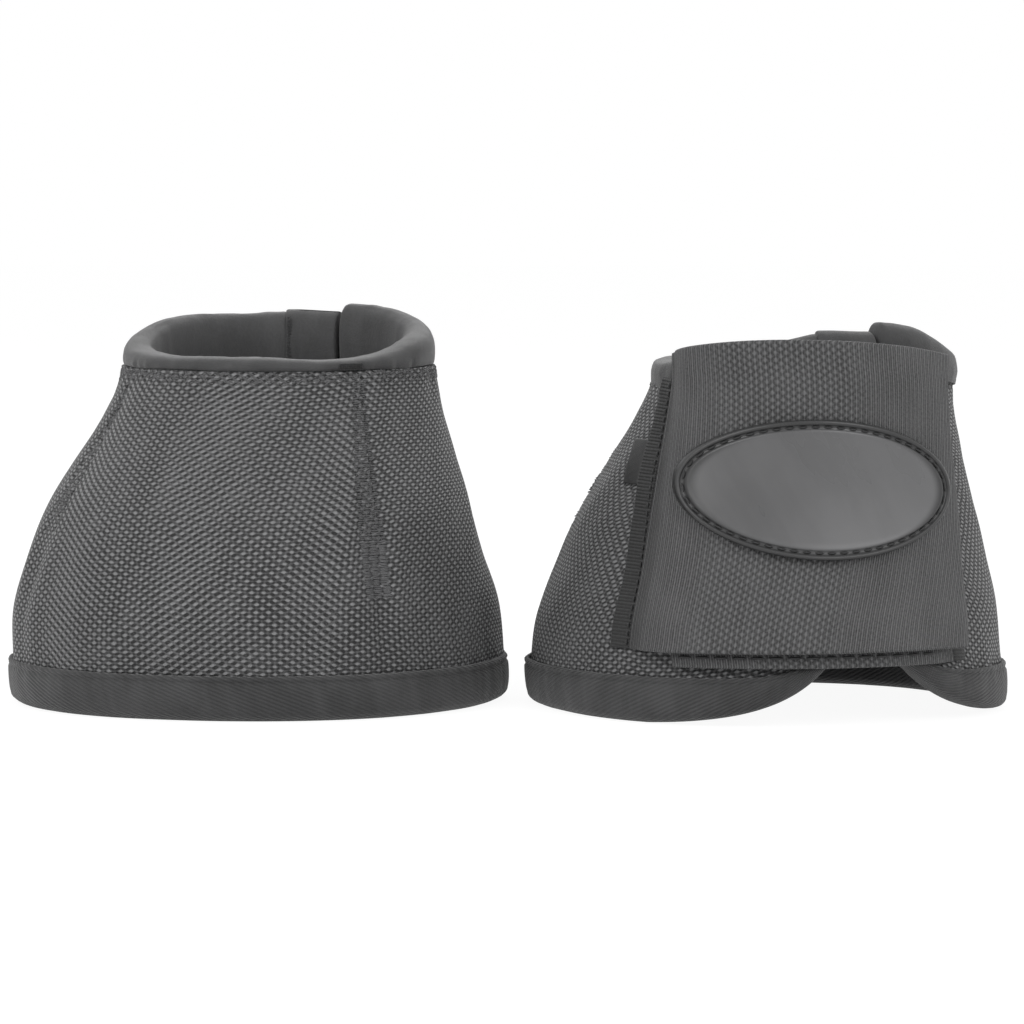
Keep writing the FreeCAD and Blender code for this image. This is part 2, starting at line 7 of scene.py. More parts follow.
import bmesh
import bpy
import numpy as np
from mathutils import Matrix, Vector


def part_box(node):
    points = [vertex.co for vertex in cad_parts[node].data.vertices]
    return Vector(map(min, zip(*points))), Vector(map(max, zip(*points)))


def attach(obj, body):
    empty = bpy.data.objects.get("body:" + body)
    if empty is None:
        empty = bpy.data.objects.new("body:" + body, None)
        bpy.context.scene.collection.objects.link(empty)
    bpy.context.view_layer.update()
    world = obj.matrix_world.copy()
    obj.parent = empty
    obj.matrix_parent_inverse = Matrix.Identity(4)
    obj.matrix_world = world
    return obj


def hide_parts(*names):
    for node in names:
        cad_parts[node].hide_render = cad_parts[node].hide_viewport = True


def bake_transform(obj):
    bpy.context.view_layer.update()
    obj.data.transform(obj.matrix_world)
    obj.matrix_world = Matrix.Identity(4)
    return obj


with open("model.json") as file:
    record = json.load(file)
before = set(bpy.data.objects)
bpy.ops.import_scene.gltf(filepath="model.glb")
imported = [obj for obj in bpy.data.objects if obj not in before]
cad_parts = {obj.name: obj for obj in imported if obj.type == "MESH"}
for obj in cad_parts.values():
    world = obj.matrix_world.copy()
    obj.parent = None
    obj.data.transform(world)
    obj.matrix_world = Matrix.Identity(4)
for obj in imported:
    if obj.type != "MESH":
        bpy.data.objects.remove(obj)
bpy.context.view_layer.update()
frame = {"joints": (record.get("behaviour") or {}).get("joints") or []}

MM = 0.001
CLOTH_UNIT = 100.0  # millimetres of cloth in one unit of the cloth map
COARSE = 2.4  # distance between points of a mesh on plain hidden sheets

# --- form of the bell ---
shell_height = 100.0
hem_half_width = 71.6
neck_half_width = 47.0
hem_extra_depth = 3.0
rear_lean = 19.0
hem_squareness = 2.16
neck_squareness = 2.0
flare_shares = (1.0, 1.025, 1.0, 0.846, 0.667, 0.425, 0.175, 0.0)
lean_shares = (0.10, 0.0, -0.08, -0.08, 0.05, 0.35, 0.72, 1.0)
press_height = 46.0  # a side that is pressed in or stands out does so wholly above this

# --- wall ---
skin_thickness = 1.2
foam_thickness = 4.5
lining_thickness = 0.8
bond_gap = 0.35
free_gap = 0.4
fold_gap = 0.5
wall_thickness = skin_thickness + foam_thickness + lining_thickness + 2 * bond_gap
slit_half_width = 3.0

# --- bound edge ---
hem_height = 13.5
binding_thickness = 1.5
binding_sole = 2.5
arch_height = 25.0
arch_spread = 19.5
arch_toe = 3.0

# --- collar ---
collar_width = 9.4
collar_front = 4.0
collar_rise = 8.9
collar_rise_start, collar_rise_end = 20.0, 150.0
roll_end_left = 13.0
roll_end_right = 9.0
left_end_rise, left_end_length = 1.6, 35.0
right_end_rise, right_end_length = 4.2, 75.0
roll_round = 3.4
roll_corners, core_corners = 54, 20
core_inset, core_end_inset = 1.1, 1.7
collar_skirt, core_skirt, tab_skirt = 4.0, 0.2, 4.2
tab_overlap = 2.2
lip_join_angle = 46.0
lip_join_half_width = 4.0

# --- darts ---
dart_angle = 130.5
dart_foot, dart_top = 51.5, shell_height - 3.0
dart_spread_top = 1.0
dart_spread_foot = 3.6
dart_pitch = 3.6
tack_width = 8.0
tack_length = 16.0

# --- threads ---
thread_radius = 0.4
zigzag_radius = 0.17
seam_radius = 0.2
darning_radius = 0.21

# --- closure ---
flap_bottom, flap_top = 21.5, 110.0
flap_thickness = 1.6
root_bottom_angle, root_top_angle = 58.0, 76.0
free_bottom_angle, free_top_angle = 24.0, 34.0
flap_crown_share = 0.45
root_drop, free_drop = 5.0, 5.4
margin_width = 7.0
margin_thickness = 1.2
inner_bottom, inner_top = 17.0, 96.0
inner_thickness = 1.2
inner_root_bottom_angle, inner_root_top_angle = 24.0, 31.0
inner_free_bottom_angle, inner_free_top_angle = 46.0, 52.0
inner_margin_width = 6.0
hook_thickness = 0.7
loop_thickness = 0.8
loop_bottom = 26.0
tape_inset = 2.0
hook_length_angle = 26.0
outer_rise_angle = 12.0
inner_rise_angle = 7.0
root_pitch = 4.8
inner_lift = 2 * bond_gap + loop_thickness + free_gap + hook_thickness
inner_face = inner_lift + inner_thickness
outer_lift = inner_face + 2 * bond_gap + loop_thickness + free_gap + hook_thickness
outer_face = outer_lift + flap_thickness
margin_face = bond_gap + margin_thickness

# --- badge and label ---
badge_half_length = 41.2
badge_half_height = 20.3
badge_angle = -12.7
badge_height = 68.6
badge_groove = 2.1
badge_pitch = 3.7
badge_turn = math.radians(2.5)
label_height = 13.0
label_reach = 8.0
label_middle = 75.0
label_thickness = 0.6

# --- studio, in metres and watts ---
camera_aim = (0.0019, 0.0, 0.0567)
camera_distance = 2.0
camera_rise = math.radians(4.0)
camera_lens = 233.9
lamp_aim = (0.0, 0.0, 0.05)
lamp_size = 1.0


# ---------------------------------------------------------------- shape of a boot

def smooth(values, share):
    """The value at a share of the height, on an even curve through evenly spaced values."""
    values = np.asarray(values)
    place = np.clip(share, 0.0, 1.0) * (len(values) - 1)
    low = np.minimum(place.astype(int), len(values) - 2)
    t = place - low
    before, start = values[np.maximum(low - 1, 0)], values[low]
    end, after = values[low + 1], values[np.minimum(low + 2, len(values) - 1)]
    slope_in, slope_out = (end - before) / 2, (after - start) / 2
    bend = t * t * (3 - 2 * t)
    return start + (end - start) * bend + slope_in * t * (1 - t) ** 2 - slope_out * t * t * (1 - t)


def drift(u, v, seed):
    """Soft even noise from -1 to 1, with features about one unit across."""
    table = np.random.RandomState(seed).uniform(-1, 1, (64, 64))
    u, v = np.broadcast_arrays(np.asarray(u, float), np.asarray(v, float))
    iu, iv = np.floor(u).astype(int), np.floor(v).astype(int)
    fu, fv = u - iu, v - iv
    fu, fv = fu * fu * (3 - 2 * fu), fv * fv * (3 - 2 * fv)

    def knot(a, b):
        return table[(iu + a) % 64, (iv + b) % 64]

    low = knot(0, 0) * (1 - fu) + knot(1, 0) * fu
    high = knot(0, 1) * (1 - fu) + knot(1, 1) * fu
    return low * (1 - fv) + high * fv


def mound(distance, width):
    """1 at no distance, falling evenly to nothing over about twice the width."""
    return np.exp(-(distance / width) ** 2)


def swell_at(swells, angle):
    """The sum at an angle of swells round a boot, each a middle angle, a width and a size."""
    total = np.zeros_like(np.asarray(angle, float))
    for middle, width, size in swells:
        total = total + size * mound((angle - middle + 180.0) % 360.0 - 180.0, width)
    return total


def rise_over(value, start, end):
    """0 before start and 1 after end, with an even climb between them."""
    t = np.clip((value - start) / (end - start), 0.0, 1.0)
    return t * t * (3 - 2 * t)


def through(values, count):
    """Points along a smooth closed line through a few points."""
    values = np.asarray(values, float)
    place = np.arange(count) * len(values) / count
    low = place.astype(int)
    t = (place - low)[:, None]
    before, start, end, after = [values[(low + k) % len(values)] for k in (-1, 0, 1, 2)]
    bend = (after - before + 3 * (start - end)) * t + 2 * before - 5 * start + 4 * end - after
    return start + t / 2 * (bend * t + end - before)


def edge_at(value, place, share):
    """A plain value, or one that changes with a place and a share of the sheet."""
    return value(place, share) if callable(value) else value


def slanted(bottom, bottom_value, top, top_value):
    """A value that changes evenly with height."""
    return lambda h: bottom_value + (top_value - bottom_value) * (h - bottom) / (top - bottom)


def running(steps):
    """The running total of a row of steps, from 0."""
    return np.concatenate([[0.0], np.cumsum(steps)])


def row(count, start, end):
    return np.linspace(start, end, count)


dart_spread = slanted(dart_foot, dart_spread_foot, dart_top, dart_spread_top)


class Boot:
    """The form that every piece of one boot follows, and where that boot stands.
    squeeze is how much narrower its hem is, turn how far round it stands, in degrees, and
    flap_crown the height of the closing flap's arched top. presses are swells of the sides,
    collar_swells of the collar's height, and drapes of how far it hangs down over the skin."""

    def __init__(self, side, squeeze, mirrored, turn, flap_crown, presses, collar_swells, drapes, seed):
        self.side, self.squeeze, self.mirrored, self.seed = side, squeeze, mirrored, seed
        self.flap_crown, self.presses = flap_crown, presses
        self.collar_swells, self.drapes = collar_swells, drapes
        self.turn = math.radians(turn)
        self.stand = np.zeros(3)
        heights, angles = np.meshgrid(np.linspace(0, hem_height, 15), np.linspace(0, 360, 721))
        low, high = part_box(side + "_hem_binding")
        edge = self.placed(self.spot(heights, angles, binding_thickness)).reshape(-1, 3)
        middle = (edge.min(axis=0) + edge.max(axis=0)) / 2
        self.stand = (np.array(low) + np.array(high)) / 2 - middle
        self.stand[2] = 0.0

    def share(self, height):
        return np.clip(height / shell_height, 0.0, 1.0)

    def half_width(self, height):
        share = self.share(height)
        full = neck_half_width + (hem_half_width - neck_half_width) * smooth(flare_shares, share)
        return full - self.squeeze * (1 - share / 2)

    def centre(self, height):
        return rear_lean * smooth(lean_shares, self.share(height))

    def reach(self, height, angle, out=0.0):
        share = self.share(height)
        side = self.half_width(height) + out
        depth = side + hem_extra_depth * (1 - share)
        power = hem_squareness + (neck_squareness - hem_squareness) * share
        turn = np.radians(angle)
        across = np.abs(np.sin(turn) / side) ** power
        along = np.abs(np.cos(turn) / depth) ** power
        return (across + along) ** (-1 / power)

    def spot(self, height, angle, out=0.0, rise=0.0):
        height, angle = np.broadcast_arrays(np.asarray(height, float), np.asarray(angle, float))
        pressed = rise_over(height, hem_height, press_height) * swell_at(self.presses, angle)
        reach = self.reach(height, angle, out) + pressed
        turn = np.radians(angle)
        along = self.centre(height) + reach * np.cos(turn)
        return np.stack([-reach * np.sin(turn), along, height + rise], axis=-1)

    def placed(self, points):
        """Points of the boot in metres, where the boot stands."""
        x, y, z = np.moveaxis(np.asarray(points, float), -1, 0)
        x = -x if self.mirrored else x
        cos, sin = math.cos(self.turn), math.sin(self.turn)
        return np.stack([x * cos - y * sin, x * sin + y * cos, z], axis=-1) * MM + self.stand

    def degrees(self, height, length):
        """The angle that a length round the bell takes up."""
        return np.degrees(length / self.half_width(np.asarray(height, float)))

    def at_neck(self, length):
        """The angle that a length takes up round the bell's top edge."""
        return self.degrees(shell_height, length)

    def arc(self, height, angle):
        """Distance round the bell from the middle of the toe."""
        return np.radians(angle - 180.0) * self.half_width(np.asarray(height, float))

    def slit_angle(self, height, half_gap, out):
        """The angle at which the bell lies half a gap away from the middle of the rear."""
        angle = np.zeros_like(np.asarray(height, float))
        for _ in range(8):
            angle = np.degrees(np.arcsin(half_gap / self.reach(height, angle, out)))
        return angle

    def straight_line(self, bottom, bottom_angle, top, top_angle):
        """The angle at a height of a straight line between two places on the bell."""
        low = self.spot(bottom, bottom_angle)
        high = self.spot(top, top_angle)

        def angle(height):
            t = ((np.asarray(height, float) - bottom) / (top - bottom))[..., None]
            at = low + (high - low) * t
            return np.degrees(np.arctan2(-at[..., 0], at[..., 1] - self.centre(height)))

        return angle

    def root(self):
        return self.straight_line(flap_bottom, -root_bottom_angle, flap_top, -root_top_angle)

    def inner_root(self):
        return self.straight_line(
            inner_bottom, inner_root_bottom_angle, inner_top, inner_root_top_angle
        )

    def dart_distance(self, height, angle):
        """Distances across the nearer dart: from its middle line, and from its nearer row."""
        around = np.abs((np.asarray(angle, float) + 180.0) % 360.0 - 180.0)
        across = np.abs(np.radians(around - dart_angle) * self.half_width(height))
        return across, across - dart_spread(np.clip(height, dart_foot, dart_top))

    def relief(self, height, angle):
        """How far the padded skin swells or sinks at a place."""
        height, angle = np.broadcast_arrays(np.asarray(height, float), np.asarray(angle, float))
        arc, seed = self.arc(height, angle), self.seed
        # broad and middling swells of the padding
        swell = 0.75 * drift(arc / 34, height / 30, seed) + 0.3 * drift(arc / 11, height / 15, seed + 1)
        # puckers above the hem and under the collar
        above_hem = np.clip(height - hem_height, 0, None)
        swell += 0.45 * np.exp(-above_hem / 5) * drift(arc / 3.4, height / 12, seed + 2)
        near_collar = rise_over(height, 84, 99)
        swell += 0.5 * near_collar * drift(arc / 3.0, height / 14, seed + 3)
        # grooves along a dart's two rows of stitches, with a small pucker at each stitch
        middle, stitch_row = self.dart_distance(height, angle)
        sewn = rise_over(height, dart_foot - 3, dart_foot + 3)
        swell -= sewn * (0.75 * mound(stitch_row, 0.8) + 0.45 * mound(middle, dart_spread_foot))
        stitches = np.sin(height * 2 * math.pi / dart_pitch + angle)
        swell += sewn * 0.28 * mound(stitch_row, 2.4) * stitches
        # a hollow at the dart's block of thread, swollen beside it
        foot = mound(height - (dart_foot - tack_length / 2), tack_length * 0.62)
        swell -= 0.9 * foot * mound(middle, tack_width * 0.55)
        swell += 0.7 * foot * mound(middle - tack_width * 1.05, 3.6)
        # a crease that runs out below the dart
        below = rise_over(height, 10, 26) * rise_over(-height, -48, -34)
        swell -= 0.55 * below * mound(middle, 2.6)
        swell += 0.35 * below * mound(middle - 7, 3.5)
        return swell


boots = (
    Boot(
        "left", squeeze=0.0, mirrored=True, turn=-17.0, flap_crown=108.6, presses=(),
        collar_swells=((292, 30, 2.2), (128, 22, -1.6)), drapes=(), seed=11,
    ),
    Boot(
        "right", squeeze=4.0, mirrored=False, turn=203.0, flap_crown=112.0,
        presses=((247, 32, -4.4), (67, 30, 2.0)),
        collar_swells=((275, 34, -4.6), (62, 32, -5.2), (326, 20, -2.4)),
        drapes=((255, 38, 5.5), (80, 32, 4.5)), seed=43,
    ),
)


# ---------------------------------------------------------------- meshes

def spaced(length, pitch, edge):
    """Distances along a sheet, set close together where its edges are rounded."""
    near = edge * (1 - np.cos(np.linspace(0, math.pi / 2, 5)[:-1]))
    count = max(2, int(round((length - 2 * edge) / pitch)) + 1)
    return np.concatenate([near, np.linspace(edge, length - edge, count), length - near[::-1]])


def tube_faces(stations, corners, first=0):
    """Faces of a closed tube: quads between its rings of points, and a cap on each end."""
    faces = []
    for i in range(stations - 1):
        a, b = first + i * corners, first + (i + 1) * corners
        for j in range(corners):
            k = (j + 1) % corners
            faces.append((a + j, a + k, b + k, b + j))
    last = first + (stations - 1) * corners
    faces.append(tuple(range(first, first + corners)))
    faces.append(tuple(range(last + corners - 1, last - 1, -1)))
    return faces


def finish_piece(boot, name, points, faces, cloth, material, body, node):
    """A named piece from its points, faces and cloth map. It rides on a body of its boot, unless
    body is None, and stands in for a node of the frame, unless node is None."""
    mesh = bpy.data.meshes.new(name)
    mesh.from_pydata(boot.placed(points).tolist(), [], faces)
    layer = mesh.uv_layers.new(name="cloth")
    corners = np.empty(len(mesh.loops), dtype=int)
    mesh.loops.foreach_get("vertex_index", corners)
    layer.data.foreach_set("uv", (np.asarray(cloth)[corners] / CLOTH_UNIT).ravel())
    work = bmesh.new()
    work.from_mesh(mesh)
    bmesh.ops.recalc_face_normals(work, faces=work.faces)
    work.to_mesh(mesh)
    work.free()
    mesh.polygons.foreach_set("use_smooth", [True] * len(mesh.polygons))
    piece = bpy.data.objects.new(boot.side + "_" + name, mesh)
    bpy.context.collection.objects.link(piece)
    mesh.materials.append(material)
    if body:
        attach(piece, boot.side + "_" + body)
    if node:
        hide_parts(boot.side + "_" + node)
    return piece


def cloth_map(surface, reference):
    """Distances across and up a grid of points, counted from a column of the grid."""
    across = np.linalg.norm(np.diff(surface, axis=1), axis=2)
    across = np.concatenate([np.zeros((len(surface), 1)), np.cumsum(across, axis=1)], axis=1)
    across -= across[:, reference : reference + 1]
    up = running(np.linalg.norm(np.diff(surface, axis=0), axis=2).mean(axis=1))
    return np.stack([across, np.broadcast_to(up[:, None], across.shape)], axis=-1)


def sheet_piece(
    boot, name, bottom, top, start, end, inside, thickness, material, body, node,
    pitch=1.6, relief=None, reference=0.0, bend=None,
):
    """A closed sheet with rounded edges that lies round the boot, with a cloth map.
    bottom, top and inside may change along the sheet. start and end are angles at a height.
    relief and bend are added to the distance outside the skin. reference is the share of the
    sheet from which its cloth map is counted."""
    edge = thickness / 2
    lowest = float(edge_at(bottom, 180.0, 0.5))
    tall = float(edge_at(top, 180.0, 0.5)) - lowest
    middle = np.asarray(lowest + tall / 2)
    width = math.radians(abs(float(end(middle) - start(middle)))) * float(boot.half_width(middle))
    ups, shares = spaced(tall, pitch, edge), spaced(width, pitch, edge) / width
    rows, columns = len(ups), len(shares)
    share = np.broadcast_to(shares[None, :], (rows, columns))
    climb = np.broadcast_to(ups[:, None] / tall, (rows, columns))
    height = lowest + tall * climb
    for _ in range(4):
        angle = start(height) + (end(height) - start(height)) * share
        low = edge_at(bottom, angle, share)
        height = low + (edge_at(top, angle, share) - low) * climb
    from_ends = np.minimum(shares, 1 - shares) * width
    from_edge = np.minimum(np.minimum(ups, tall - ups)[:, None], from_ends[None, :])
    nearest = np.clip(from_edge / edge, 0.0, 1.0)
    half = edge * np.sqrt(1 - (1 - nearest) ** 2)
    out = edge_at(inside, height, share) + edge
    if relief is not None:
        out = out + relief(height, angle)
    if bend is not None:
        out = out + bend(height, share)
    outer = boot.spot(height, angle, out + half)
    inner = boot.spot(height, angle, out - half)
    cloth = cloth_map(outer, int(round(reference * (columns - 1))))
    index = np.arange(rows * columns).reshape(rows, columns)
    back = index.copy()
    inside_count = (rows - 2) * (columns - 2)
    back[1:-1, 1:-1] = rows * columns + np.arange(inside_count).reshape(rows - 2, columns - 2)
    faces = []
    for grid, turn in ((index, 1), (back, -1)):
        corners = [grid[:-1, :-1], grid[:-1, 1:], grid[1:, 1:], grid[1:, :-1]]
        quads = np.stack(corners, axis=-1).reshape(-1, 4)
        faces += quads[:, ::turn].tolist()
    points = np.concatenate([outer.reshape(-1, 3), inner[1:-1, 1:-1].reshape(-1, 3)])
    maps = np.concatenate([cloth.reshape(-1, 2), cloth[1:-1, 1:-1].reshape(-1, 2)])
    piece = finish_piece(boot, name, points, faces, maps, material, body, node)
    return piece


def swept_piece(boot, name, sections, material, node):
    """A padded piece of the bell from a grid of points: a row of closed sections."""
    along = running(np.linalg.norm(np.diff(sections.mean(axis=1), axis=0), axis=1))
    around = running(np.linalg.norm(np.diff(sections, axis=1), axis=2).mean(axis=0))
    cloth = np.stack(np.meshgrid(along, around, indexing="ij"), axis=-1).reshape(-1, 2)
    points, faces = sections.reshape(-1, 3), tube_faces(*sections.shape[:2])
    piece = finish_piece(boot, name, points, faces, cloth, material, "boot", node)


def thread_piece(boot, name, ends, lifts, radius, material, body, node):
    """Stitches in one piece: each is a short bowed thread from one needle hole to the next.
    ends are pairs of points, and lifts are the way out of the cloth at each stitch."""
    rings, sides = 7, 8
    points, faces = [], []
    for (start, end), lift in zip(ends, lifts):
        along = end - start
        length = np.linalg.norm(along)
        along = along / length
        side = np.cross(along, lift)
        side /= np.linalg.norm(side)
        up = np.cross(side, along)
        faces += tube_faces(rings, sides, len(points))
        for i in range(rings):
            t = i / (rings - 1)
            bow = math.sin(math.pi * t)
            centre = start + along * length * t + up * radius * (1.1 * bow - 0.8)
            thick = radius * (0.45 + 0.55 * min(1.0, 1.6 * bow))
            for j in range(sides):
                turn = 2 * math.pi * j / sides
                points.append(centre + side * thick * math.cos(turn) + up * thick * math.sin(turn))
    along = np.tile(np.repeat(np.linspace(0, 4, rings), sides), len(ends))
    around = np.tile(np.arange(sides) * 0.4, rings * len(ends))
    cloth = np.stack([along, around], axis=-1)
    finish_piece(boot, name, np.array(points), faces, cloth, material, body, node)


def stitch_line(boot, heights, angles, out, share=0.72, relief=True):
    """Stitch ends and lifts along a row of needle holes on the boot. share is how much of the
    way to the next hole shows as thread."""
    heights, angles = np.asarray(heights, float), np.asarray(angles, float)
    if relief:
        out = out + boot.relief(heights, angles)
    spots = boot.spot(heights, angles, out)
    lifts = boot.spot(heights, angles, out + 1.0) - spots
    ends = [(a, a + (b - a) * share) for a, b in zip(spots[:-1], spots[1:])]
    return ends, list(lifts[:-1])


# ---------------------------------------------------------------- finishes

class Wiring:
    """Places and joins shader nodes in one tree."""

    def __init__(self, tree):
        self.tree = tree

    def node(self, kind, inputs=(), **settings):
        node = self.tree.nodes.new(kind)
        for key, value in settings.items():
            setattr(node, key, value)
        for key, value in dict(inputs).items():
            self.feed(node.inputs[key], value)
        return node

    def feed(self, socket, value):
        if isinstance(value, bpy.types.NodeSocket):
            self.tree.links.new(value, socket)
        else:
            socket.default_value = value

    def math(self, operation, *values, clamp=False):
        values = dict(enumerate(values))
        return self.node("ShaderNodeMath", values, operation=operation, use_clamp=clamp).outputs[0]

    def add(self, one, other):
        return self.math("ADD", one, other)

    def subtract(self, one, other):
        return self.math("SUBTRACT", one, other)

    def times(self, one, other):
        return self.math("MULTIPLY", one, other)

    def over(self, one, other):
        return self.math("DIVIDE", one, other)

    def times_add(self, one, other, more, clamp=False):
        return self.math("MULTIPLY_ADD", one, other, more, clamp=clamp)

    def centred(self, value):
        """A value from 0 to 1, moved so that its middle is 0."""
        return self.subtract(value, 0.5)

    def mixed(self, one, share, other, other_share):
        """Two values, each by its share."""
        return self.times_add(one, share, self.times(other, other_share))

    def ramp(self, value, low, high, start=0.0, end=1.0):
        inputs = {"Value": value, "From Min": low, "From Max": high, "To Min": start, "To Max": end}
        return self.node("ShaderNodeMapRange", inputs, interpolation_type="SMOOTHSTEP").outputs[0]

    def tint(self, factor, dark, light):
        inputs = {0: factor, 6: dark, 7: light}
        return self.node("ShaderNodeMix", inputs, data_type="RGBA").outputs[2]

    def noise(self, vector, scale, detail=2.0, roughness=0.5):
        inputs = {"Vector": vector, "Scale": scale, "Detail": detail, "Roughness": roughness}
        return self.node("ShaderNodeTexNoise", inputs).outputs["Fac"]

    def split(self, vector):
        return self.node("ShaderNodeSeparateXYZ", {"Vector": vector}).outputs


def new_group(name, inputs, outputs):
    """A node group on the cloth map, with its wiring, what it is given and what it puts out."""
    tree = bpy.data.node_groups.new(name, "ShaderNodeTree")
    tree.interface.new_socket("Cloth", in_out="INPUT", socket_type="NodeSocketVector")
    for label, value in inputs.items():
        socket = tree.interface.new_socket(label, in_out="INPUT", socket_type="NodeSocketFloat")
        socket.default_value = value
    for label in outputs:
        tree.interface.new_socket(label, in_out="OUTPUT", socket_type="NodeSocketFloat")
    wires = Wiring(tree)
    return wires, wires.node("NodeGroupInput").outputs, wires.node("NodeGroupOutput").inputs


def wandering_places(wires, given, scale, detail):
    """Millimetres across and up the cloth, wandering a little to and fro."""
    cloth = wires.split(given["Cloth"])
    inputs = {"Vector": given["Cloth"], "Scale": scale, "Detail": detail}
    noise = wires.split(wires.node("ShaderNodeTexNoise", inputs).outputs["Color"])
    places = []
    for axis in "XY":
        bend = wires.times(wires.centred(noise[axis]), given["Wander"])
        places.append(wires.times_add(cloth[axis], CLOTH_UNIT, bend))
    return places


def make_float_weave():
    """Raised oblong floats in rows, each row set half a float along."""
    wires, given, made = new_group(
        "float weave",
        {"Across": 1.6, "Up": 1.4, "Length": 0.92, "Height": 0.7, "Wander": 0.3},
        ["Float", "Crown"],
    )
    across, up = wandering_places(wires, given, 13.0, 1.0)
    line = wires.over(up, given["Up"])
    odd = wires.times(wires.math("FLOORED_MODULO", wires.math("FLOOR", line), 2.0), 0.5)
    place = wires.add(wires.over(across, given["Across"]), odd)
    shares = []
    for value, size, squareness in ((place, "Length", 2.4), (line, "Height", 2.2)):
        away = wires.centred(wires.math("FRACT", value))
        share = wires.over(away, wires.times(given[size], 0.5))
        shares.append(wires.math("POWER", wires.math("ABSOLUTE", share), squareness))
    total = wires.add(*shares)
    wires.feed(made["Float"], wires.ramp(total, 1.3, 0.5))
    crown = wires.math("SUBTRACT", 1.0, total, clamp=True)
    wires.feed(made["Crown"], wires.math("POWER", crown, 0.6))
    return wires.tree


def make_basket_weave():
    """Floats in rows, each row set half a float along. Lean draws the floats out along one
    diagonal or the other, from 0 to 1."""
    wires, given, made = new_group(
        "basket weave",
        {"Across": 3.7, "Up": 1.24, "Lean": 0.5, "Row": 0.5, "Column": 0.45, "Wander": 1.0},
        ["Weave"],
    )
    places = wandering_places(wires, given, 3.0, 3.0)
    across, up = (
        wires.times(wires.over(place, given[pitch]), 2 * math.pi)
        for place, pitch in zip(places, ("Across", "Up"))
    )
    half = wires.times(up, 0.5)
    one = wires.times(wires.math("COSINE", wires.add(across, half)), given["Lean"])
    other = wires.math("COSINE", wires.subtract(across, half))
    other = wires.times(other, wires.subtract(1.0, given["Lean"]))
    rows = wires.times(wires.math("COSINE", up), given["Row"])
    columns = wires.times(wires.math("COSINE", wires.times(across, 2.0)), given["Column"])
    total = wires.add(wires.add(one, other), wires.add(rows, columns))
    wires.feed(made["Weave"], wires.ramp(total, -0.85, 1.15))
    return wires.tree


def make_ribs():
    """Even parallel ribs, upright at a slant of 0 and leaning as it grows."""
    wires, given, made = new_group("ribs", {"Pitch": 1.0, "Slant": 0.0}, ["Rib"])
    split = wires.split(given["Cloth"])
    across = wires.times_add(split["Y"], given["Slant"], split["X"])
    turns = wires.over(wires.times(across, CLOTH_UNIT), given["Pitch"])
    wave = wires.math("COSINE", wires.times(turns, 2 * math.pi))
    wires.feed(made["Rib"], wires.times_add(wave, 0.5, 0.5))
    return wires.tree


def make_cloth_tone():
    """Slow light and dark drifts of used cloth, drawn out upwards, and its fine fuzz."""
    wires, given, made = new_group("cloth tone", {"Patch": 12.0, "Lean": 0.5}, ["Tone", "Fuzz"])
    scale = wires.over(CLOTH_UNIT, given["Patch"])
    split = wires.split(given["Cloth"])
    leaned = wires.times_add(split["Y"], given["Lean"], split["X"])
    stretched = wires.times(split["Y"], 0.35)
    streak = wires.node("ShaderNodeCombineXYZ", {"X": leaned, "Y": stretched}).outputs[0]
    wide = wires.noise(given["Cloth"], wires.times(scale, 0.3), 3.0)
    narrow = wires.noise(streak, scale, 3.0, 0.6)
    both = wires.add(wires.times(wide, 0.55), wires.times(narrow, 0.45))
    wires.feed(made["Tone"], wires.ramp(both, 0.34, 0.66))
    wires.feed(made["Fuzz"], wires.noise(given["Cloth"], 260.0, 3.0, 0.7))
    return wires.tree


float_weave = make_float_weave()
basket_weave = make_basket_weave()
ribs = make_ribs()
cloth_tone = make_cloth_tone()


def grey(value):
    """A near-neutral colour from a grey level between 0 and 255 as it should look."""
    level = value / 255.0
    linear = level / 12.92 if level <= 0.04045 else ((level + 0.055) / 1.055) ** 2.4
    return (linear, linear, linear * 1.02, 1.0)


class Finish(Wiring):
    """A material that is laid out on the cloth map."""

    def __init__(self, name, roughness, sheen=0.0):
        self.material = bpy.data.materials.new(name)
        self.material.use_nodes = True
        super().__init__(self.material.node_tree)
        self.tree.nodes.clear()
        inputs = {"Roughness": roughness, "Sheen Weight": sheen, "Sheen Roughness": 0.5}
        self.shader = self.node("ShaderNodeBsdfPrincipled", inputs)
        self.node("ShaderNodeOutputMaterial", {"Surface": self.shader.outputs[0]})
        self.cloth = self.node("ShaderNodeUVMap", uv_map="cloth").outputs[0]

    def group(self, tree, **inputs):
        inputs = {"Cloth": self.cloth, **inputs}
        return self.node("ShaderNodeGroup", inputs, node_tree=tree).outputs

    def tone(self, patch, lean=0.0):
        """Drifts of light and dark about a patch wide, and fuzz."""
        made = self.group(cloth_tone, Patch=patch, Lean=lean)
        return made["Tone"], made["Fuzz"]

    def rib(self, pitch, slant):
        return self.group(ribs, Pitch=pitch, Slant=slant)["Rib"]

    def set_colour(self, factor, dark, light):
        """The base colour, between two grey levels."""
        self.feed(self.shader.inputs["Base Color"], self.tint(factor, grey(dark), grey(light)))

    def set_roughness(self, factor, start, end):
        self.feed(self.shader.inputs["Roughness"], self.ramp(factor, 0.0, 1.0, start, end))

    def set_bump(self, height, depth):
        """Relief of the given depth in millimetres."""
        bump = self.node("ShaderNodeBump", {"Height": height, "Distance": depth * MM, "Strength": 1.0})
        self.feed(self.shader.inputs["Normal"], bump.outputs[0])


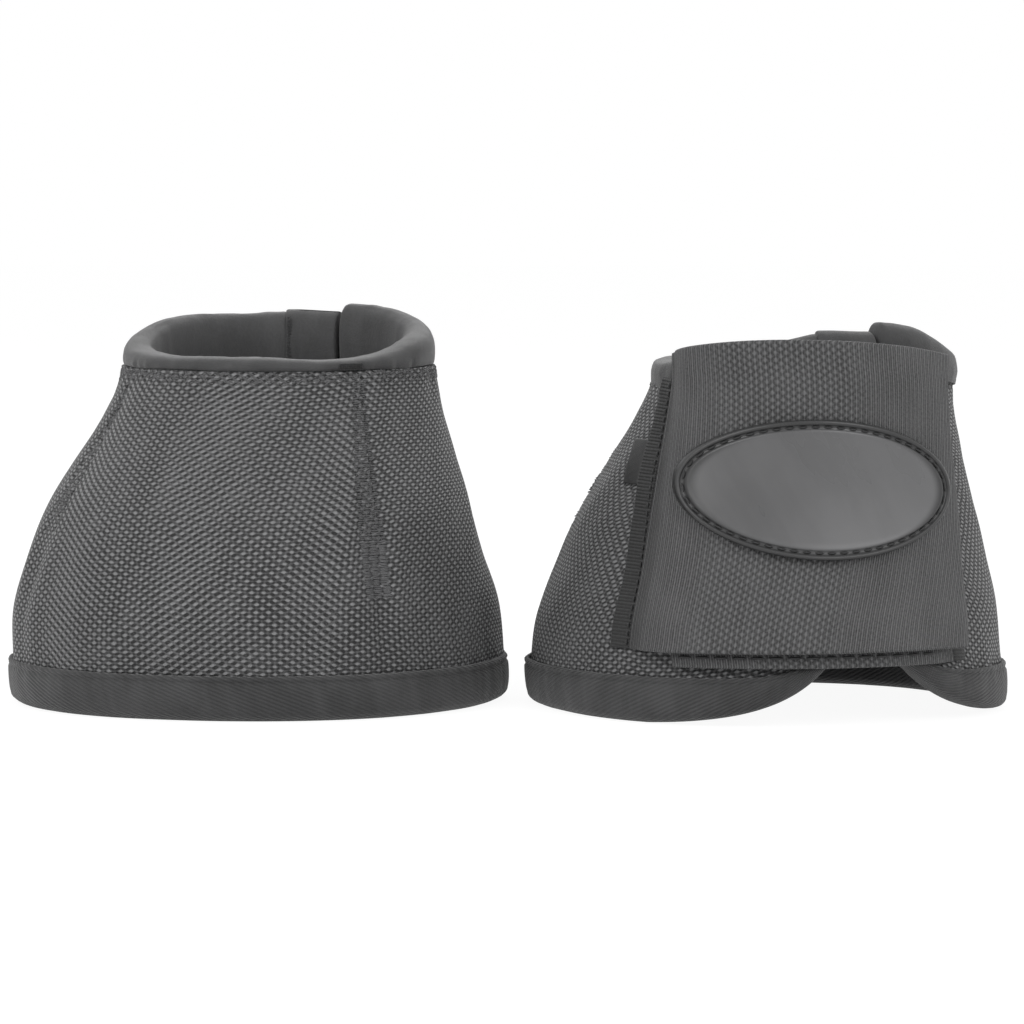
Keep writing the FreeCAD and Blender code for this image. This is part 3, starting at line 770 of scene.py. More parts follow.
def make_ballistic_nylon():
    """Coarse basket weave whose floats lean one way and the other round the boot. Its colour runs from
    dark gaps to light floats: the weave's pattern, with painted shade in the gaps and painted
    highlights on the floats.
    """
    finish = Finish("ballistic nylon", 0.55, 0.1)
    across = finish.split(finish.cloth)["X"]
    turn = finish.times_add(across, 2 * math.pi * CLOTH_UNIT / 94.0, 0.17)
    lean = finish.times(finish.math("COSINE", turn), 0.46)
    near_toe = finish.ramp(finish.math("ABSOLUTE", across), 0.44, 0.52, 1.0, 0.15)
    lean = finish.times_add(lean, near_toe, 0.5)
    sway = finish.centred(finish.noise(finish.cloth, 4.0, 1.0))
    lean = finish.times_add(sway, 0.7, lean, clamp=True)
    weave = finish.group(basket_weave, Across=3.6, Up=1.16, Lean=lean, Wander=3.0)["Weave"]
    tone, fuzz = finish.tone(7.0)
    lint = finish.centred(finish.noise(finish.cloth, 90.0, 2.0, 0.6))
    # Painted shade and highlight: the weave makes its gaps darkest and its float crowns lightest, over
    # random tone and lint.
    shade = finish.times_add(finish.centred(tone), 0.14, finish.times_add(lint, 0.9, weave))
    finish.set_colour(shade, 28, 134)
    finish.set_roughness(weave, 0.8, 0.45)
    finish.set_bump(finish.times_add(fuzz, 0.3, weave), 0.5)
    return finish.material


def make_binding_twill():
    finish = Finish("binding twill", 0.75, 0.2)
    twill = finish.rib(2.8, 2.4)
    tone, fuzz = finish.tone(6.0, 0.2)
    finish.set_colour(finish.mixed(tone, 0.6, twill, 0.4), 38, 74)
    finish.set_bump(finish.times_add(fuzz, 0.5, twill), 0.2)
    return finish.material


def make_collar_cloth():
    finish = Finish("collar cloth", 0.7, 0.3)
    tone, fuzz = finish.tone(9.0)
    nap = finish.noise(finish.cloth, 110.0, 4.0, 0.7)
    finish.set_colour(finish.mixed(tone, 0.45, nap, 0.55), 40, 80)
    finish.set_bump(finish.add(fuzz, nap), 0.14)
    return finish.material


def make_lining_jersey():
    finish = Finish("lining jersey", 0.85, 0.35)
    tone, fuzz = finish.tone(10.0)
    knit = finish.group(float_weave, Across=0.8, Up=0.7, Wander=0.6)["Crown"]
    finish.set_colour(tone, 54, 78)
    finish.set_bump(finish.times_add(fuzz, 0.8, knit), 0.08)
    return finish.material


def make_foam():
    finish = Finish("closed cell foam", 0.9)
    inputs = {"Vector": finish.cloth, "Scale": 160.0}
    cells = finish.node("ShaderNodeTexVoronoi", inputs).outputs["Distance"]
    finish.set_colour(cells, 40, 62)
    finish.set_bump(cells, 0.2)
    return finish.material


def make_ribbed_tape(name, dark, light, pitch, slant):
    """The back of wide hook tape: fine ribs, and a band of small honeycomb along its middle.
    It is darker beside its stitched root: painted shade."""
    finish = Finish(name, 0.6, 0.1)
    upright = finish.mixed(finish.rib(2 * pitch, slant), 0.3, finish.rib(pitch, slant), 0.75)
    honeycomb = finish.group(
        basket_weave, Across=3.08, Up=1.03, Lean=0.5, Row=0.05, Column=0.6, Wander=0.3
    )["Weave"]
    across = finish.split(finish.cloth)["X"]
    from_middle = finish.math("ABSOLUTE", finish.subtract(across, 0.46))
    combed = finish.ramp(from_middle, 0.15, 0.27, 0.62, 0.1)
    pattern = finish.node("ShaderNodeMix", {0: combed, 2: upright, 3: honeycomb}).outputs[0]
    tone, fuzz = finish.tone(5.0)
    lint = finish.centred(finish.noise(finish.cloth, 150.0, 2.0, 0.7))
    shade = finish.times_add(finish.centred(tone), 0.14, finish.add(lint, pattern))
    # Painted shade: darkest within 4 mm of the first column, gone by 10 mm.
    shade = finish.subtract(shade, finish.ramp(across, 0.04, 0.1, 0.3, 0.0))
    finish.set_colour(shade, dark, light)
    finish.set_bump(finish.times_add(fuzz, 0.4, pattern), 0.34)
    return finish.material


def make_hook_face():
    finish = Finish("hook face", 0.5)
    hooks = finish.group(float_weave, Across=1.1, Up=1.1, Length=0.6, Height=0.6, Wander=0.1)
    finish.set_colour(hooks["Float"], 30, 70)
    finish.set_bump(hooks["Crown"], 0.5)
    return finish.material


def make_loop_pile():
    finish = Finish("loop pile", 0.95, 0.5)
    tone, fuzz = finish.tone(4.0)
    curls = finish.noise(finish.cloth, 120.0, 4.0, 0.75)
    finish.set_colour(finish.mixed(tone, 0.4, curls, 0.6), 38, 72)
    finish.set_bump(finish.add(curls, fuzz), 0.35)
    return finish.material


def make_thread(name, dark, light):
    finish = Finish(name, 0.5)
    twist = finish.rib(0.55, 1.0)
    finish.set_colour(twist, dark, light)
    finish.set_bump(twist, 0.05)
    return finish.material


def make_woven_label():
    finish = Finish("woven label", 0.45)
    fine = finish.group(float_weave, Across=0.5, Up=0.35, Wander=0.1)["Crown"]
    finish.set_colour(finish.mixed(fine, 0.6, finish.tone(5.0)[0], 0.4), 30, 50)
    finish.set_bump(fine, 0.06)
    return finish.material


def make_badge_rubber():
    """Moulded rubber, with painted shade that darkens the rim and a painted highlight that lightens the
    field towards one end.
    """
    finish = Finish("badge rubber", 0.3)
    tone = finish.tone(14.0, 0.6)[0]
    split = finish.split(finish.cloth)
    across = finish.over(split["X"], badge_half_length / CLOTH_UNIT)
    up = finish.over(split["Y"], badge_half_height / CLOTH_UNIT)
    # Painted shade: the rim is darker than the field.
    rim = finish.ramp(finish.add(finish.times(across, across), finish.times(up, up)), 0.7, 0.84)
    # Painted highlight: the field grows lighter towards one end, under random tone.
    field = finish.add(finish.ramp(across, -1.0, 1.0, 0.0, 0.7), finish.times(tone, 0.3))
    colour = finish.tint(rim, finish.tint(field, grey(84), grey(116)), grey(52))
    finish.feed(finish.shader.inputs["Base Color"], colour)
    finish.set_roughness(tone, 0.26, 0.4)
    finish.set_bump(finish.noise(finish.cloth, 420.0, 2.0, 0.6), 0.02)
    return finish.material


nylon = make_ballistic_nylon()
twill = make_binding_twill()
collar_cloth = make_collar_cloth()
jersey = make_lining_jersey()
foam = make_foam()
ribbed_tape = make_ribbed_tape("ribbed tape", 16, 110, 0.77, 0.0)
# The sewn strips take a darker copy of the ribbed tape: painted shade.
shaded_sewn_tape = make_ribbed_tape("shaded sewn tape", 14, 56, 20.0, 20.0)
hook_face = make_hook_face()
loop_pile = make_loop_pile()
thread = make_thread("bonded thread", 26, 58)
collar_thread = make_thread("collar thread", 44, 80)
darning_thread = make_thread("darning thread", 68, 132)
woven_label = make_woven_label()
rubber = make_badge_rubber()


# ---------------------------------------------------------------- bell

def arch_floor(across, lift=0.0):
    """Height of the bell's lower edge at the rear, down to the floor beside the arch."""
    line = (arch_height + arch_toe) / (1 + (across / arch_spread) ** 2) - arch_toe
    return np.maximum(line, 0.0) + lift


def band_top(across):
    """Height of the binding's upper edge, where it runs up round the rear arch."""
    return hem_height + arch_height / (1 + (across / (arch_spread * 0.72)) ** 4)


def lower_edge(boot, lift):
    """Height of the wall's lower edge at an angle, tucked into the binding."""

    def height(angle, share):
        angle = np.asarray(angle, float)
        level = np.full(angle.shape, lift)
        for _ in range(5):
            across = boot.reach(level, angle) * np.sin(np.radians(angle))
            behind = np.cos(np.radians(angle)) > 0
            level = np.where(behind, arch_floor(across, lift), lift)
        return level

    return height


def make_wall(boot):
    """Skin, foam and lining, from one end of the slit round the toe to the other."""
    half_gap = slit_half_width + binding_thickness + fold_gap
    foot = lower_edge(boot, binding_sole + fold_gap)
    foam_face = -skin_thickness - bond_gap - foam_thickness
    lining_face = foam_face - bond_gap - lining_thickness
    layers = (
        ("skin", -skin_thickness, skin_thickness, nylon, "outer_shell", "ballistic_nylon", 1.2),
        ("padding", foam_face, foam_thickness, foam, "foam_core", "neoprene_foam", COARSE),
        ("lining_cloth", lining_face, lining_thickness, jersey, "lining", "jersey_lining", 1.6),
    )

    def slit(height):
        return boot.slit_angle(height, half_gap, 0.0)

    for name, inside, thickness, material, node, slot, pitch in layers:
        sheet_piece(
            boot, name, foot, shell_height, slit, lambda h: 360.0 - slit(h), inside, thickness,
            material, "boot", node, pitch=pitch, relief=boot.relief, reference=0.5,
        )


def hem_place(boot, shares, out, mix, up):
    """Points along the binding: mix is 0 at the wall's lower edge and 1 at the binding's top."""
    level = np.full(shares.shape, hem_height)
    for _ in range(8):
        end = boot.slit_angle(level, slit_half_width, out)
        angle = 180.0 + np.sign(shares) * np.abs(shares) ** 0.75 * (180.0 - end)
        across = boot.reach(level, angle, out) * np.sin(np.radians(angle))
        behind = np.cos(np.radians(angle)) > 0
        floor = np.where(behind, arch_floor(across), 0.0)
        top = np.where(behind, band_top(across), hem_height)
        level = floor + up + (top - floor - up) * mix
    arc = boot.arc(np.full(angle.shape, 6.0), angle)
    sway = 0.45 * drift(arc / 26, 0.3, boot.seed + 5) + 0.18 * drift(arc / 6, 0.7, boot.seed + 6)
    sway = sway + 0.16 * mix * drift(arc / 2.6, 3.1, boot.seed + 7)
    near_slit = rise_over(180.0 - np.abs(angle - 180.0), 2.0, 30.0)
    return boot.spot(level, angle, out + sway * near_slit)


def make_hem_binding(boot):
    """Tape folded round the lower edge. A corner of its profile is a distance outside the skin,
    a share of the tape's height and a rise."""
    outer = binding_thickness
    inner = -wall_thickness - binding_thickness
    tuck = -wall_thickness - fold_gap
    middle, half = (outer + inner) / 2, (outer - inner) / 2 + 0.5
    profile = [(fold_gap, 1.0, 0.0), (0.8, 1.012, 0.0), (outer - 0.1, 0.995, 0.0)]
    for mix in (0.96, 0.92, 0.885, 0.85, 0.8, 0.7, 0.58, 0.46, 0.34):
        seam = -0.55 * float(mound(mix - 0.87, 0.028))
        profile.append((outer + 0.55 * math.sin(math.pi * mix) + seam + 0.2, mix, 0.0))
    for turn in np.linspace(0, math.pi, 15)[1:-1]:
        profile.append((middle + half * math.cos(turn), 0.24 * (1 - math.sin(turn)), 0.0))
    for mix in (0.34, 0.5, 0.7, 0.85):
        profile.append((inner - 0.35 * math.sin(math.pi * mix), mix, 0.0))
    profile += [(inner + 0.1, 0.97, 0.0), (inner + 0.7, 1.01, 0.0), (tuck, 1.0, 0.0)]
    inside = (tuck, 0.5), (tuck, 0.0), (fold_gap, 0.0), (fold_gap, 0.5)
    profile += [(out, mix, binding_sole) for out, mix in inside]
    shares = np.linspace(-1, 1, 381)
    sections = np.stack([hem_place(boot, shares, *corner) for corner in profile], axis=1)
    swept_piece(boot, "hem_tape", sections, twill, "hem_binding")


def make_slit_binding(boot):
    """Tape folded round both ends of the bell at the slit. A corner of its profile is a distance
    from the middle of the rear, and a distance outside the skin."""
    near, outer = slit_half_width, binding_thickness
    inner, tuck = -wall_thickness - binding_thickness, -wall_thickness - fold_gap
    far, core = near + hem_height * 0.45, near + binding_thickness
    profile = [(far, fold_gap), (far + 0.3, 0.9), (far - 0.2, outer), (core, outer + 0.1)]
    for turn in np.linspace(0, math.pi, 9):
        across = near + 1.2 * (1 - math.sin(turn))
        profile.append((across, (outer + inner) / 2 + (outer - inner) / 2 * math.cos(turn)))
    profile += [(core, inner - 0.1), (far - 0.2, inner), (far + 0.3, inner + 0.6)]
    profile += [(far, tuck), (core, tuck), (core, fold_gap)]
    heights = row(60, float(band_top(near)) + free_gap, shell_height - bond_gap)
    for side, label in ((-1, "tape_a"), (1, "tape_b")):
        rails = []
        for across, out in profile:
            angles = side * boot.slit_angle(heights, across, out)
            rails.append(boot.spot(heights, angles, out))
        sections = np.stack(rails, axis=1)
        swept_piece(boot, "slit_" + label, sections, twill, "slit_binding")


# ---------------------------------------------------------------- collar

def collar_height(boot, angle):
    """How far the collar stands above the bell's top edge, at an angle from 0 to 360."""
    climb = rise_over(np.abs(angle - 180.0), collar_rise_start, collar_rise_end)
    near_right = rise_over(-angle, -roll_end_right - right_end_length, -roll_end_right)
    near_left = rise_over(angle, 360.0 - roll_end_left - left_end_length, 360.0 - roll_end_left)
    ends = right_end_rise * near_right + left_end_rise * near_left
    return collar_front + collar_rise * climb + ends + swell_at(boot.collar_swells, angle)


def collar_profile(tall, skirt, drape=0.0):
    """Outline of the collar's padding: distance outside the skin, and height above its edge.
    skirt is how far it reaches down inside the bell, and drape how far down over the skin."""
    inner = -collar_width
    puff = 1.1 * min(1.0, drape / 3)
    return [
        (-0.5 + puff, 0.1 - drape), (0.15 + puff, 0.16 * tall - 0.8 * drape),
        (0.3 + puff, 0.42 * tall - 0.4 * drape), (0.7 * puff, 0.68 * tall), (-1.1, 0.89 * tall),
        (-2.9, 0.985 * tall), (-4.6, tall), (-6.5, 0.97 * tall), (inner + 1.0, 0.85 * tall),
        (inner + 0.1, 0.62 * tall), (inner - 0.2, 0.3 * tall), (inner + 0.1, -0.2 * skirt),
        (inner + 0.5, -0.8 * skirt), (inner + 1.0, -skirt), (inner + 1.35, -0.8 * skirt),
        (inner + 1.5, -0.3), (-6.0, 0.1), (-2.6, 0.1),
    ]


def collar_ring(boot, angle, grow, shrink, skirt, corners):
    """One section of the collar, grown by a distance and drawn in to a share of its size."""
    tall = float(collar_height(boot, angle))
    drape = float(swell_at(boot.drapes, angle)) * min(1.0, shrink)
    outline = through(collar_profile(tall, skirt, drape), corners)
    centre = np.array([-collar_width / 2, tall / 2])
    away = outline - centre
    steps = np.linalg.norm(away, axis=1, keepdims=True)
    outline = centre + away * shrink + away / steps * grow
    out, up = outline.T
    arc = math.radians(angle) * neck_half_width
    turns = np.linspace(0, 2 * math.pi, corners, endpoint=False)
    soft = 0.34 * drift(arc / 15, turns * 0.9, boot.seed + 8)
    soft = soft + 0.12 * drift(arc / 4, turns * 2, boot.seed + 4)
    soft = soft + 0.5 * drift(arc / 7, 0.5, boot.seed + 19) * (out < -6.0)
    pucker = 0.42 * drift(arc / 2.1, 0.4, boot.seed + 9) * mound(up - 0.6, 1.6) * (out > -1.5)
    way_out, way_up = (away / steps).T * min(1.0, shrink * 2)
    return boot.spot(shell_height, angle, out + (soft + pucker) * way_out, up + soft * way_up)


def make_collar(boot):
    """The padded roll round the bell's top edge, open at the slit, and the foam inside it."""
    first, last = roll_end_right, 360.0 - roll_end_left
    cap = boot.at_neck(roll_round)
    ends = 1 - np.cos(np.linspace(0, math.pi / 2, 8)[:-1])
    between = row(340, first + cap, last - cap)
    rings = []
    for angle in np.concatenate([first + ends * cap, between, last - ends[::-1] * cap]):
        inside = min(1.0, min(angle - first, last - angle) / cap)
        drawn_in = max(0.25, (1 - (1 - inside) ** 2.4) ** 0.42)
        rings.append(collar_ring(boot, angle, 0.0, drawn_in, collar_skirt, roll_corners))
    cover = np.stack(rings)
    swept_piece(boot, "collar_roll", cover, collar_cloth, "collar_cover")
    inset = boot.at_neck(core_end_inset)
    angles = row(110, first + inset, last - inset)
    core = [collar_ring(boot, angle, -core_inset, 1.0, core_skirt, core_corners) for angle in angles]
    swept_piece(boot, "collar_padding", np.stack(core), foam, "collar_foam")


def make_collar_tab(boot):
    """The flat tab that bridges the roll's two ends, and overlaps the end beside the flap."""
    roll_end = 360.0 - roll_end_left
    start = roll_end - boot.at_neck(tab_overlap)
    end = 360.0 + roll_end_right - boot.at_neck(2 * free_gap)
    tall = float(collar_height(boot, roll_end))
    rings = []
    for angle in row(46, start, end):
        side = min(angle - start, end - angle) / boot.at_neck(1.0)
        soft = math.sqrt(1 - (1 - min(1.0, side)) ** 2)
        top = tall + 0.1 - 0.5 * rise_over(angle, roll_end, end)
        outline = through(collar_profile(top, tab_skirt), roll_corners)
        centre = np.array([-collar_width / 2, top / 2])
        away = outline - centre
        steps = np.linalg.norm(away, axis=1, keepdims=True)
        out, up = (centre + away * (1 + (0.35 * soft + 0.05) / steps)).T
        flat = 0.7 * rise_over(angle, roll_end, roll_end + 4.0)
        out = out + np.where(out < -5.0, flat, -flat)
        out = out + 0.12 * drift(angle / 2.3, up / 3, boot.seed + 17)
        rings.append(boot.spot(shell_height, angle, out, up))
    tab = np.stack(rings)
    swept_piece(boot, "collar_tab", tab, collar_cloth, "collar_tongue")
    heights = row(30, -2.5, tall - 1.4)
    angles = start + boot.at_neck(np.where(np.arange(len(heights)) % 2 == 0, 0.4, 2.3))
    zigzag(boot, "collar_tab_stitches", angles, -collar_width - 0.62, heights, inward=True)


def zigzag(boot, name, angles, out, heights, inward=False):
    """A zigzag seam on the collar, through given places."""
    spots = boot.spot(shell_height, angles, out, heights)
    lifts = boot.spot(shell_height, angles, out + 1.0, heights) - spots
    lifts = -lifts if inward else lifts
    ends = list(zip(spots[:-1], spots[1:]))
    thread_piece(boot, name, ends, lifts[:-1], zigzag_radius, collar_thread, "boot", None)


def make_lip_join(boot):
    """The sewn patch where the collar's cloth begins and ends, over the toe."""
    middle = 180.0 - lip_join_angle
    tall = float(collar_height(boot, middle))
    uneven = np.random.RandomState(boot.seed + 3)
    for line, height in enumerate(row(4, 0.4, tall * 0.6)):
        count = 13
        across = row(count, -lip_join_half_width, lip_join_half_width)
        across = across + uneven.uniform(-0.25, 0.25, count)
        heights = height + np.where(np.arange(count) % 2 == 0, -0.28, 0.28)
        angles = middle + boot.at_neck(across)
        zigzag(boot, "lip_join_%d" % line, angles, 0.4, heights)


def make_collar_seam(boot):
    """Short uneven stitches that draw the nylon's edge in under the collar."""
    uneven = np.random.RandomState(boot.seed + 31)
    step = boot.at_neck(0.62)
    first, last = roll_end_right + 3.0, 360.0 - roll_end_left - 3.0
    starts = np.arange(first, last, step)
    starts = np.concatenate([starts, starts + step / 2])
    angles = starts + uneven.uniform(-0.5, 0.5, len(starts)) * step
    heights = uneven.uniform(shell_height - 3.6, shell_height - 0.5, len(angles))
    reach = uneven.uniform(0.7, 1.7, len(angles))
    slope = uneven.uniform(-0.7, 0.7, len(angles))
    starts = boot.spot(heights, angles, boot.relief(heights, angles) + 0.08)
    far = angles + boot.degrees(heights, reach)
    stops = boot.spot(heights + slope * reach, far, boot.relief(heights, far) + 0.08)
    lifts = boot.spot(heights, angles, 1.0) - boot.spot(heights, angles, 0.0)
    ends = list(zip(starts, stops))
    thread_piece(boot, "collar_seam", ends, lifts, seam_radius, darning_thread, "boot", None)


# ---------------------------------------------------------------- darts

def make_darts(boot):
    """On each side of the toe, two diverging rows of stitches, darned over, and a thread block."""
    heights = row(int((dart_top - dart_foot) / dart_pitch) + 1, dart_foot, dart_top)
    ends, lifts = [], []
    for side in (-1, 1):
        for edge in (-1, 1):
            angles = side * dart_angle + edge * boot.degrees(heights, dart_spread(heights))
            some = stitch_line(boot, heights, angles, thread_radius * 0.3, share=0.5)
            ends, lifts = ends + some[0], lifts + some[1]
    radius = thread_radius * 0.7
    thread_piece(boot, "dart_stitches", ends, lifts, radius, thread, "boot", "dart_stitching")
    darn_dart(boot, "dart_darning", dart_foot, dart_top, 0.62, 1.5, None)
    darn_dart(boot, "dart_locks", dart_foot - tack_length, dart_foot, 0.44, 3.4, "dart_bartacks")


def darn_dart(boot, name, low, high, step, longest, node):
    """Level stitches in uneven rows over a dart's width, about as long as longest."""
    uneven = np.random.RandomState(boot.seed + int(longest * 10))
    ends, lifts = [], []
    for side in (-1, 1):
        for height in np.arange(low, high, step):
            half = float(dart_spread(max(height, dart_foot))) + 0.8
            count = max(2, int(math.ceil(2 * half / longest)) + 1)
            across = row(count, -half, half) + uneven.uniform(-0.35, 0.35, count)
            places = height + uneven.uniform(-0.2, 0.2, count)
            angles = side * dart_angle + boot.degrees(places, across)
            some = stitch_line(boot, places, angles, 0.12, share=0.94)
            ends, lifts = ends + some[0], lifts + some[1]
    thread_piece(boot, name, ends, lifts, darning_radius, darning_thread, "boot", node)


# ---------------------------------------------------------------- closure

def climb_from_root(full, root_share):
    """How far a flap stands off the skin, climbing evenly from its root over root_share."""
    low = bond_gap + free_gap

    def lift(height, share):
        return low + (full - low) * rise_over(share, 0.0, root_share)

    return lift


def bend_at_root(boot, piece, flap, start, end):
    """Works out places at distances start and end from a flap's hinge line, across the flap, and bakes
    the piece's placing into its mesh.
    """
    joints = {joint["child"]: joint for joint in frame["joints"]}
    joint = joints[boot.side + "_" + flap]
    place, axis = np.array(joint["pos_m"]), np.array(joint["axis"])
    middle = boot.stand * np.array([1.0, 1.0, 0.0]) + np.array([0.0, 0.0, place[2]])
    outward = place - middle
    outward -= axis * outward.dot(axis)
    toward = np.cross(axis, outward)
    toward /= np.linalg.norm(toward)
    vertices = np.array([v.co for v in piece.data.vertices])
    if (vertices.mean(axis=0) - place).dot(toward) < 0:
        toward = -toward
    start, end = (tuple(place + toward * distance * MM) for distance in (start, end))
    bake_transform(piece)


def make_outer_flap(boot):
    """The wide flap that closes the boot, with its hooks, and the strip that is sewn down."""
    root = boot.root()

    def top_edge(angle, share):
        near_root = share < flap_crown_share
        beside = np.where(near_root, flap_crown_share, 1 - flap_crown_share)
        away = np.abs(share - flap_crown_share) / beside
        return boot.flap_crown - np.where(near_root, root_drop, free_drop) * away ** 2

    free = slanted(flap_bottom, free_bottom_angle, flap_top, free_top_angle)
    lift = climb_from_root(outer_lift, outer_rise_angle / (root_bottom_angle + free_bottom_angle))

    def wave(height, share):
        soft = 0.5 * drift(share * 3.1, height / 31, boot.seed + 12)
        soft += 0.8 * rise_over(share, 0.02, 0.06) * rise_over(-share, -0.13, -0.05)
        soft += 0.25 * mound(height - flap_bottom, 1.6) * drift(share * 9, 0.2, boot.seed + 13)
        return soft * rise_over(share, 0.0, 0.03)

    flap = sheet_piece(
        boot, "closing_flap", flap_bottom, top_edge, root, free, lift, flap_thickness,
        ribbed_tape, None, "outer_flap", pitch=1.3, bend=wave,
    )
    bend_at_root(boot, flap, "outer_flap", 0.3, 9.0)
    edge = float(boot.degrees(flap_bottom, tape_inset))
    face = outer_lift - bond_gap
    inner_root = boot.inner_root()
    sheet_piece(
        boot, "closing_flap_hooks", loop_bottom, inner_top - tape_inset,
        lambda h: inner_root(h) - edge - hook_length_angle, lambda h: inner_root(h) - edge,
        face - hook_thickness, hook_thickness, hook_face, "outer_flap",
        "outer_flap_hooks", pitch=COARSE,
    )
    sheet_piece(
        boot, "closing_flap_margin", flap_bottom, shell_height - bond_gap,
        lambda h: root(h) - boot.degrees(h, margin_width), root, bond_gap, margin_thickness,
        shaded_sewn_tape, "boot", "outer_flap_margin", pitch=1.0, relief=boot.relief,
    )
    count = int((shell_height - 1 - flap_bottom) / (root_pitch / 2))
    heights = row(count, flap_bottom + 1, shell_height - 1)
    angles = root(heights) - boot.degrees(heights, 1.0)
    ends, lifts = stitch_line(boot, heights, angles, margin_face + thread_radius * 0.5)
    thread_piece(
        boot, "closing_flap_stitches", ends, lifts, thread_radius, thread, "boot",
        "outer_flap_stitching",
    )


def make_inner_flap(boot):
    """The flap under the closing one, with its hooks and loops, and the loop tape on the skin."""
    root = boot.inner_root()
    free = slanted(inner_bottom, -inner_free_bottom_angle, inner_top, -inner_free_top_angle)
    whole = inner_root_bottom_angle + inner_free_bottom_angle
    lift = climb_from_root(inner_lift, inner_rise_angle / whole)
    flap = sheet_piece(
        boot, "under_flap", inner_bottom, inner_top, root, free, lift, inner_thickness,
        ribbed_tape, None, "inner_flap", pitch=1.5,
    )
    bend_at_root(boot, flap, "inner_flap", 0.3, 6.0)
    edge = float(boot.degrees(inner_bottom, tape_inset))
    sheet_piece(
        boot, "under_flap_hooks", loop_bottom, inner_top - tape_inset,
        lambda h: free(h) + edge, lambda h: free(h) + edge + hook_length_angle,
        inner_lift - bond_gap - hook_thickness, hook_thickness, hook_face, "inner_flap",
        "inner_flap_hooks", pitch=COARSE,
    )
    sheet_piece(
        boot, "under_flap_loops", loop_bottom, inner_top - tape_inset,
        lambda h: free(h) + edge, lambda h: root(h) - inner_rise_angle - 2 * edge,
        inner_face + bond_gap, loop_thickness, loop_pile, "inner_flap",
        "inner_flap_loops", pitch=COARSE,
    )
    sheet_piece(
        boot, "under_flap_margin", inner_bottom, inner_top,
        root, lambda h: root(h) + boot.degrees(h, inner_margin_width),
        bond_gap, margin_thickness, shaded_sewn_tape, "boot", "inner_flap_margin",
        pitch=1.2, relief=boot.relief,
    )
    height = inner_bottom + 3.2
    first = -inner_free_bottom_angle + float(boot.degrees(height, tape_inset))
    last = inner_root_bottom_angle - inner_rise_angle
    count = int((last - first) / float(boot.degrees(height, root_pitch)))
    angles = row(count + 1, first, last)
    ends, lifts = stitch_line(
        boot, np.full(count + 1, height), angles, inner_face + thread_radius * 0.6, relief=False
    )
    thread_piece(
        boot, "under_flap_stitches", ends, lifts, thread_radius, thread, "inner_flap",
        "inner_flap_stitching",
    )
    sheet_piece(
        boot, "skin_loops", loop_bottom + hem_height, inner_top - tape_inset, free,
        lambda h: free(h) + hook_length_angle + boot.degrees(h, 2 * tape_inset),
        bond_gap, loop_thickness, loop_pile, "boot", "shell_loop_tape", pitch=COARSE,
    )


def badge_place(boot, across, up, out):
    """Points on the closing flap's face from distances along and up the badge."""
    side = across * math.cos(badge_turn) + up * math.sin(badge_turn)
    rise = up * math.cos(badge_turn) - across * math.sin(badge_turn)
    height = badge_height + rise
    lean = boot.centre(height) - boot.centre(badge_height)
    aside = side + lean * math.sin(math.radians(badge_angle))
    angle = badge_angle
    for _ in range(6):
        angle = badge_angle + np.degrees(np.arcsin(aside / boot.reach(height, angle, out)))
    return boot.spot(height, angle, out)


def badge_oval(inset, turns):
    """Distances along and up the badge on an oval that lies inside its edge."""
    return (badge_half_length - inset) * np.cos(turns), (badge_half_height - inset) * np.sin(turns)


def make_badge(boot):
    """An oval of rubber with a grooved rim, built of rings that follow the flap. A point of the
    rim is a distance in from the badge's edge, and a height over its back."""
    base = outer_face + bond_gap
    rim = (
        (0.0, 0.0), (0.0, 1.1), (0.15, 1.7), (0.45, 2.05), (0.85, 2.15), (1.2, 2.05), (1.45, 1.75),
        (1.7, 1.45), (2.1, 1.38), (2.5, 1.4), (2.75, 1.65), (2.95, 1.92), (3.25, 2.06), (3.6, 2.05),
        (4.1, 1.98), (4.8, 1.95),
    )
    turns = np.linspace(0, 2 * math.pi, 240, endpoint=False)
    whole_across, whole_up = badge_oval(0.0, turns)
    plans = [(whole_across * share, whole_up * share, 0.0) for share in row(16, 0.02, 0.95)]
    plans += [(*badge_oval(inset, turns), high) for inset, high in rim]
    edge_across, edge_up, low = plans[-1]
    for share in row(16, 0.95, 0.02):
        plans.append((edge_across * share, edge_up * share, low + 0.12 * (1 - share)))
    points = np.concatenate([badge_place(boot, across, up, base + high) for across, up, high in plans])
    cloth = np.concatenate([np.stack([across, up], axis=-1) for across, up, _ in plans])
    faces = tube_faces(len(plans), len(turns))
    finish_piece(
        boot, "badge_oval", points, faces, cloth, rubber, "outer_flap", "badge"
    )
    path = np.stack(badge_oval(badge_groove, np.linspace(0, 2 * math.pi, 1441)))
    lengths = running(np.linalg.norm(np.diff(path, axis=1), axis=0))
    places = row(int(round(lengths[-1] / badge_pitch)) + 1, 0, lengths[-1])
    across, up = (np.interp(places, lengths, line) for line in path)
    out = base + 1.4 + thread_radius * 0.4
    spots = badge_place(boot, across, up, out)
    above = badge_place(boot, across, up, out + 1.0) - spots
    ends = [(a, a + (b - a) * 0.7) for a, b in zip(spots[:-1], spots[1:])]
    thread_piece(
        boot, "badge_stitches", ends, above[:-1], thread_radius * 0.75, thread, "outer_flap",
        "badge_stitching",
    )


def make_size_label(boot):
    """A bare woven tab that sticks out from under the closing flap's sewn strip."""
    root = boot.root()

    def edge(height):
        return root(height) - boot.degrees(height, margin_width + bond_gap)

    sheet_piece(
        boot, "size_tab", label_middle - label_height / 2, label_middle + label_height / 2,
        lambda h: edge(h) - boot.degrees(h, label_reach), edge, bond_gap, label_thickness,
        woven_label, "boot", "size_label", pitch=0.7, relief=boot.relief,
    )


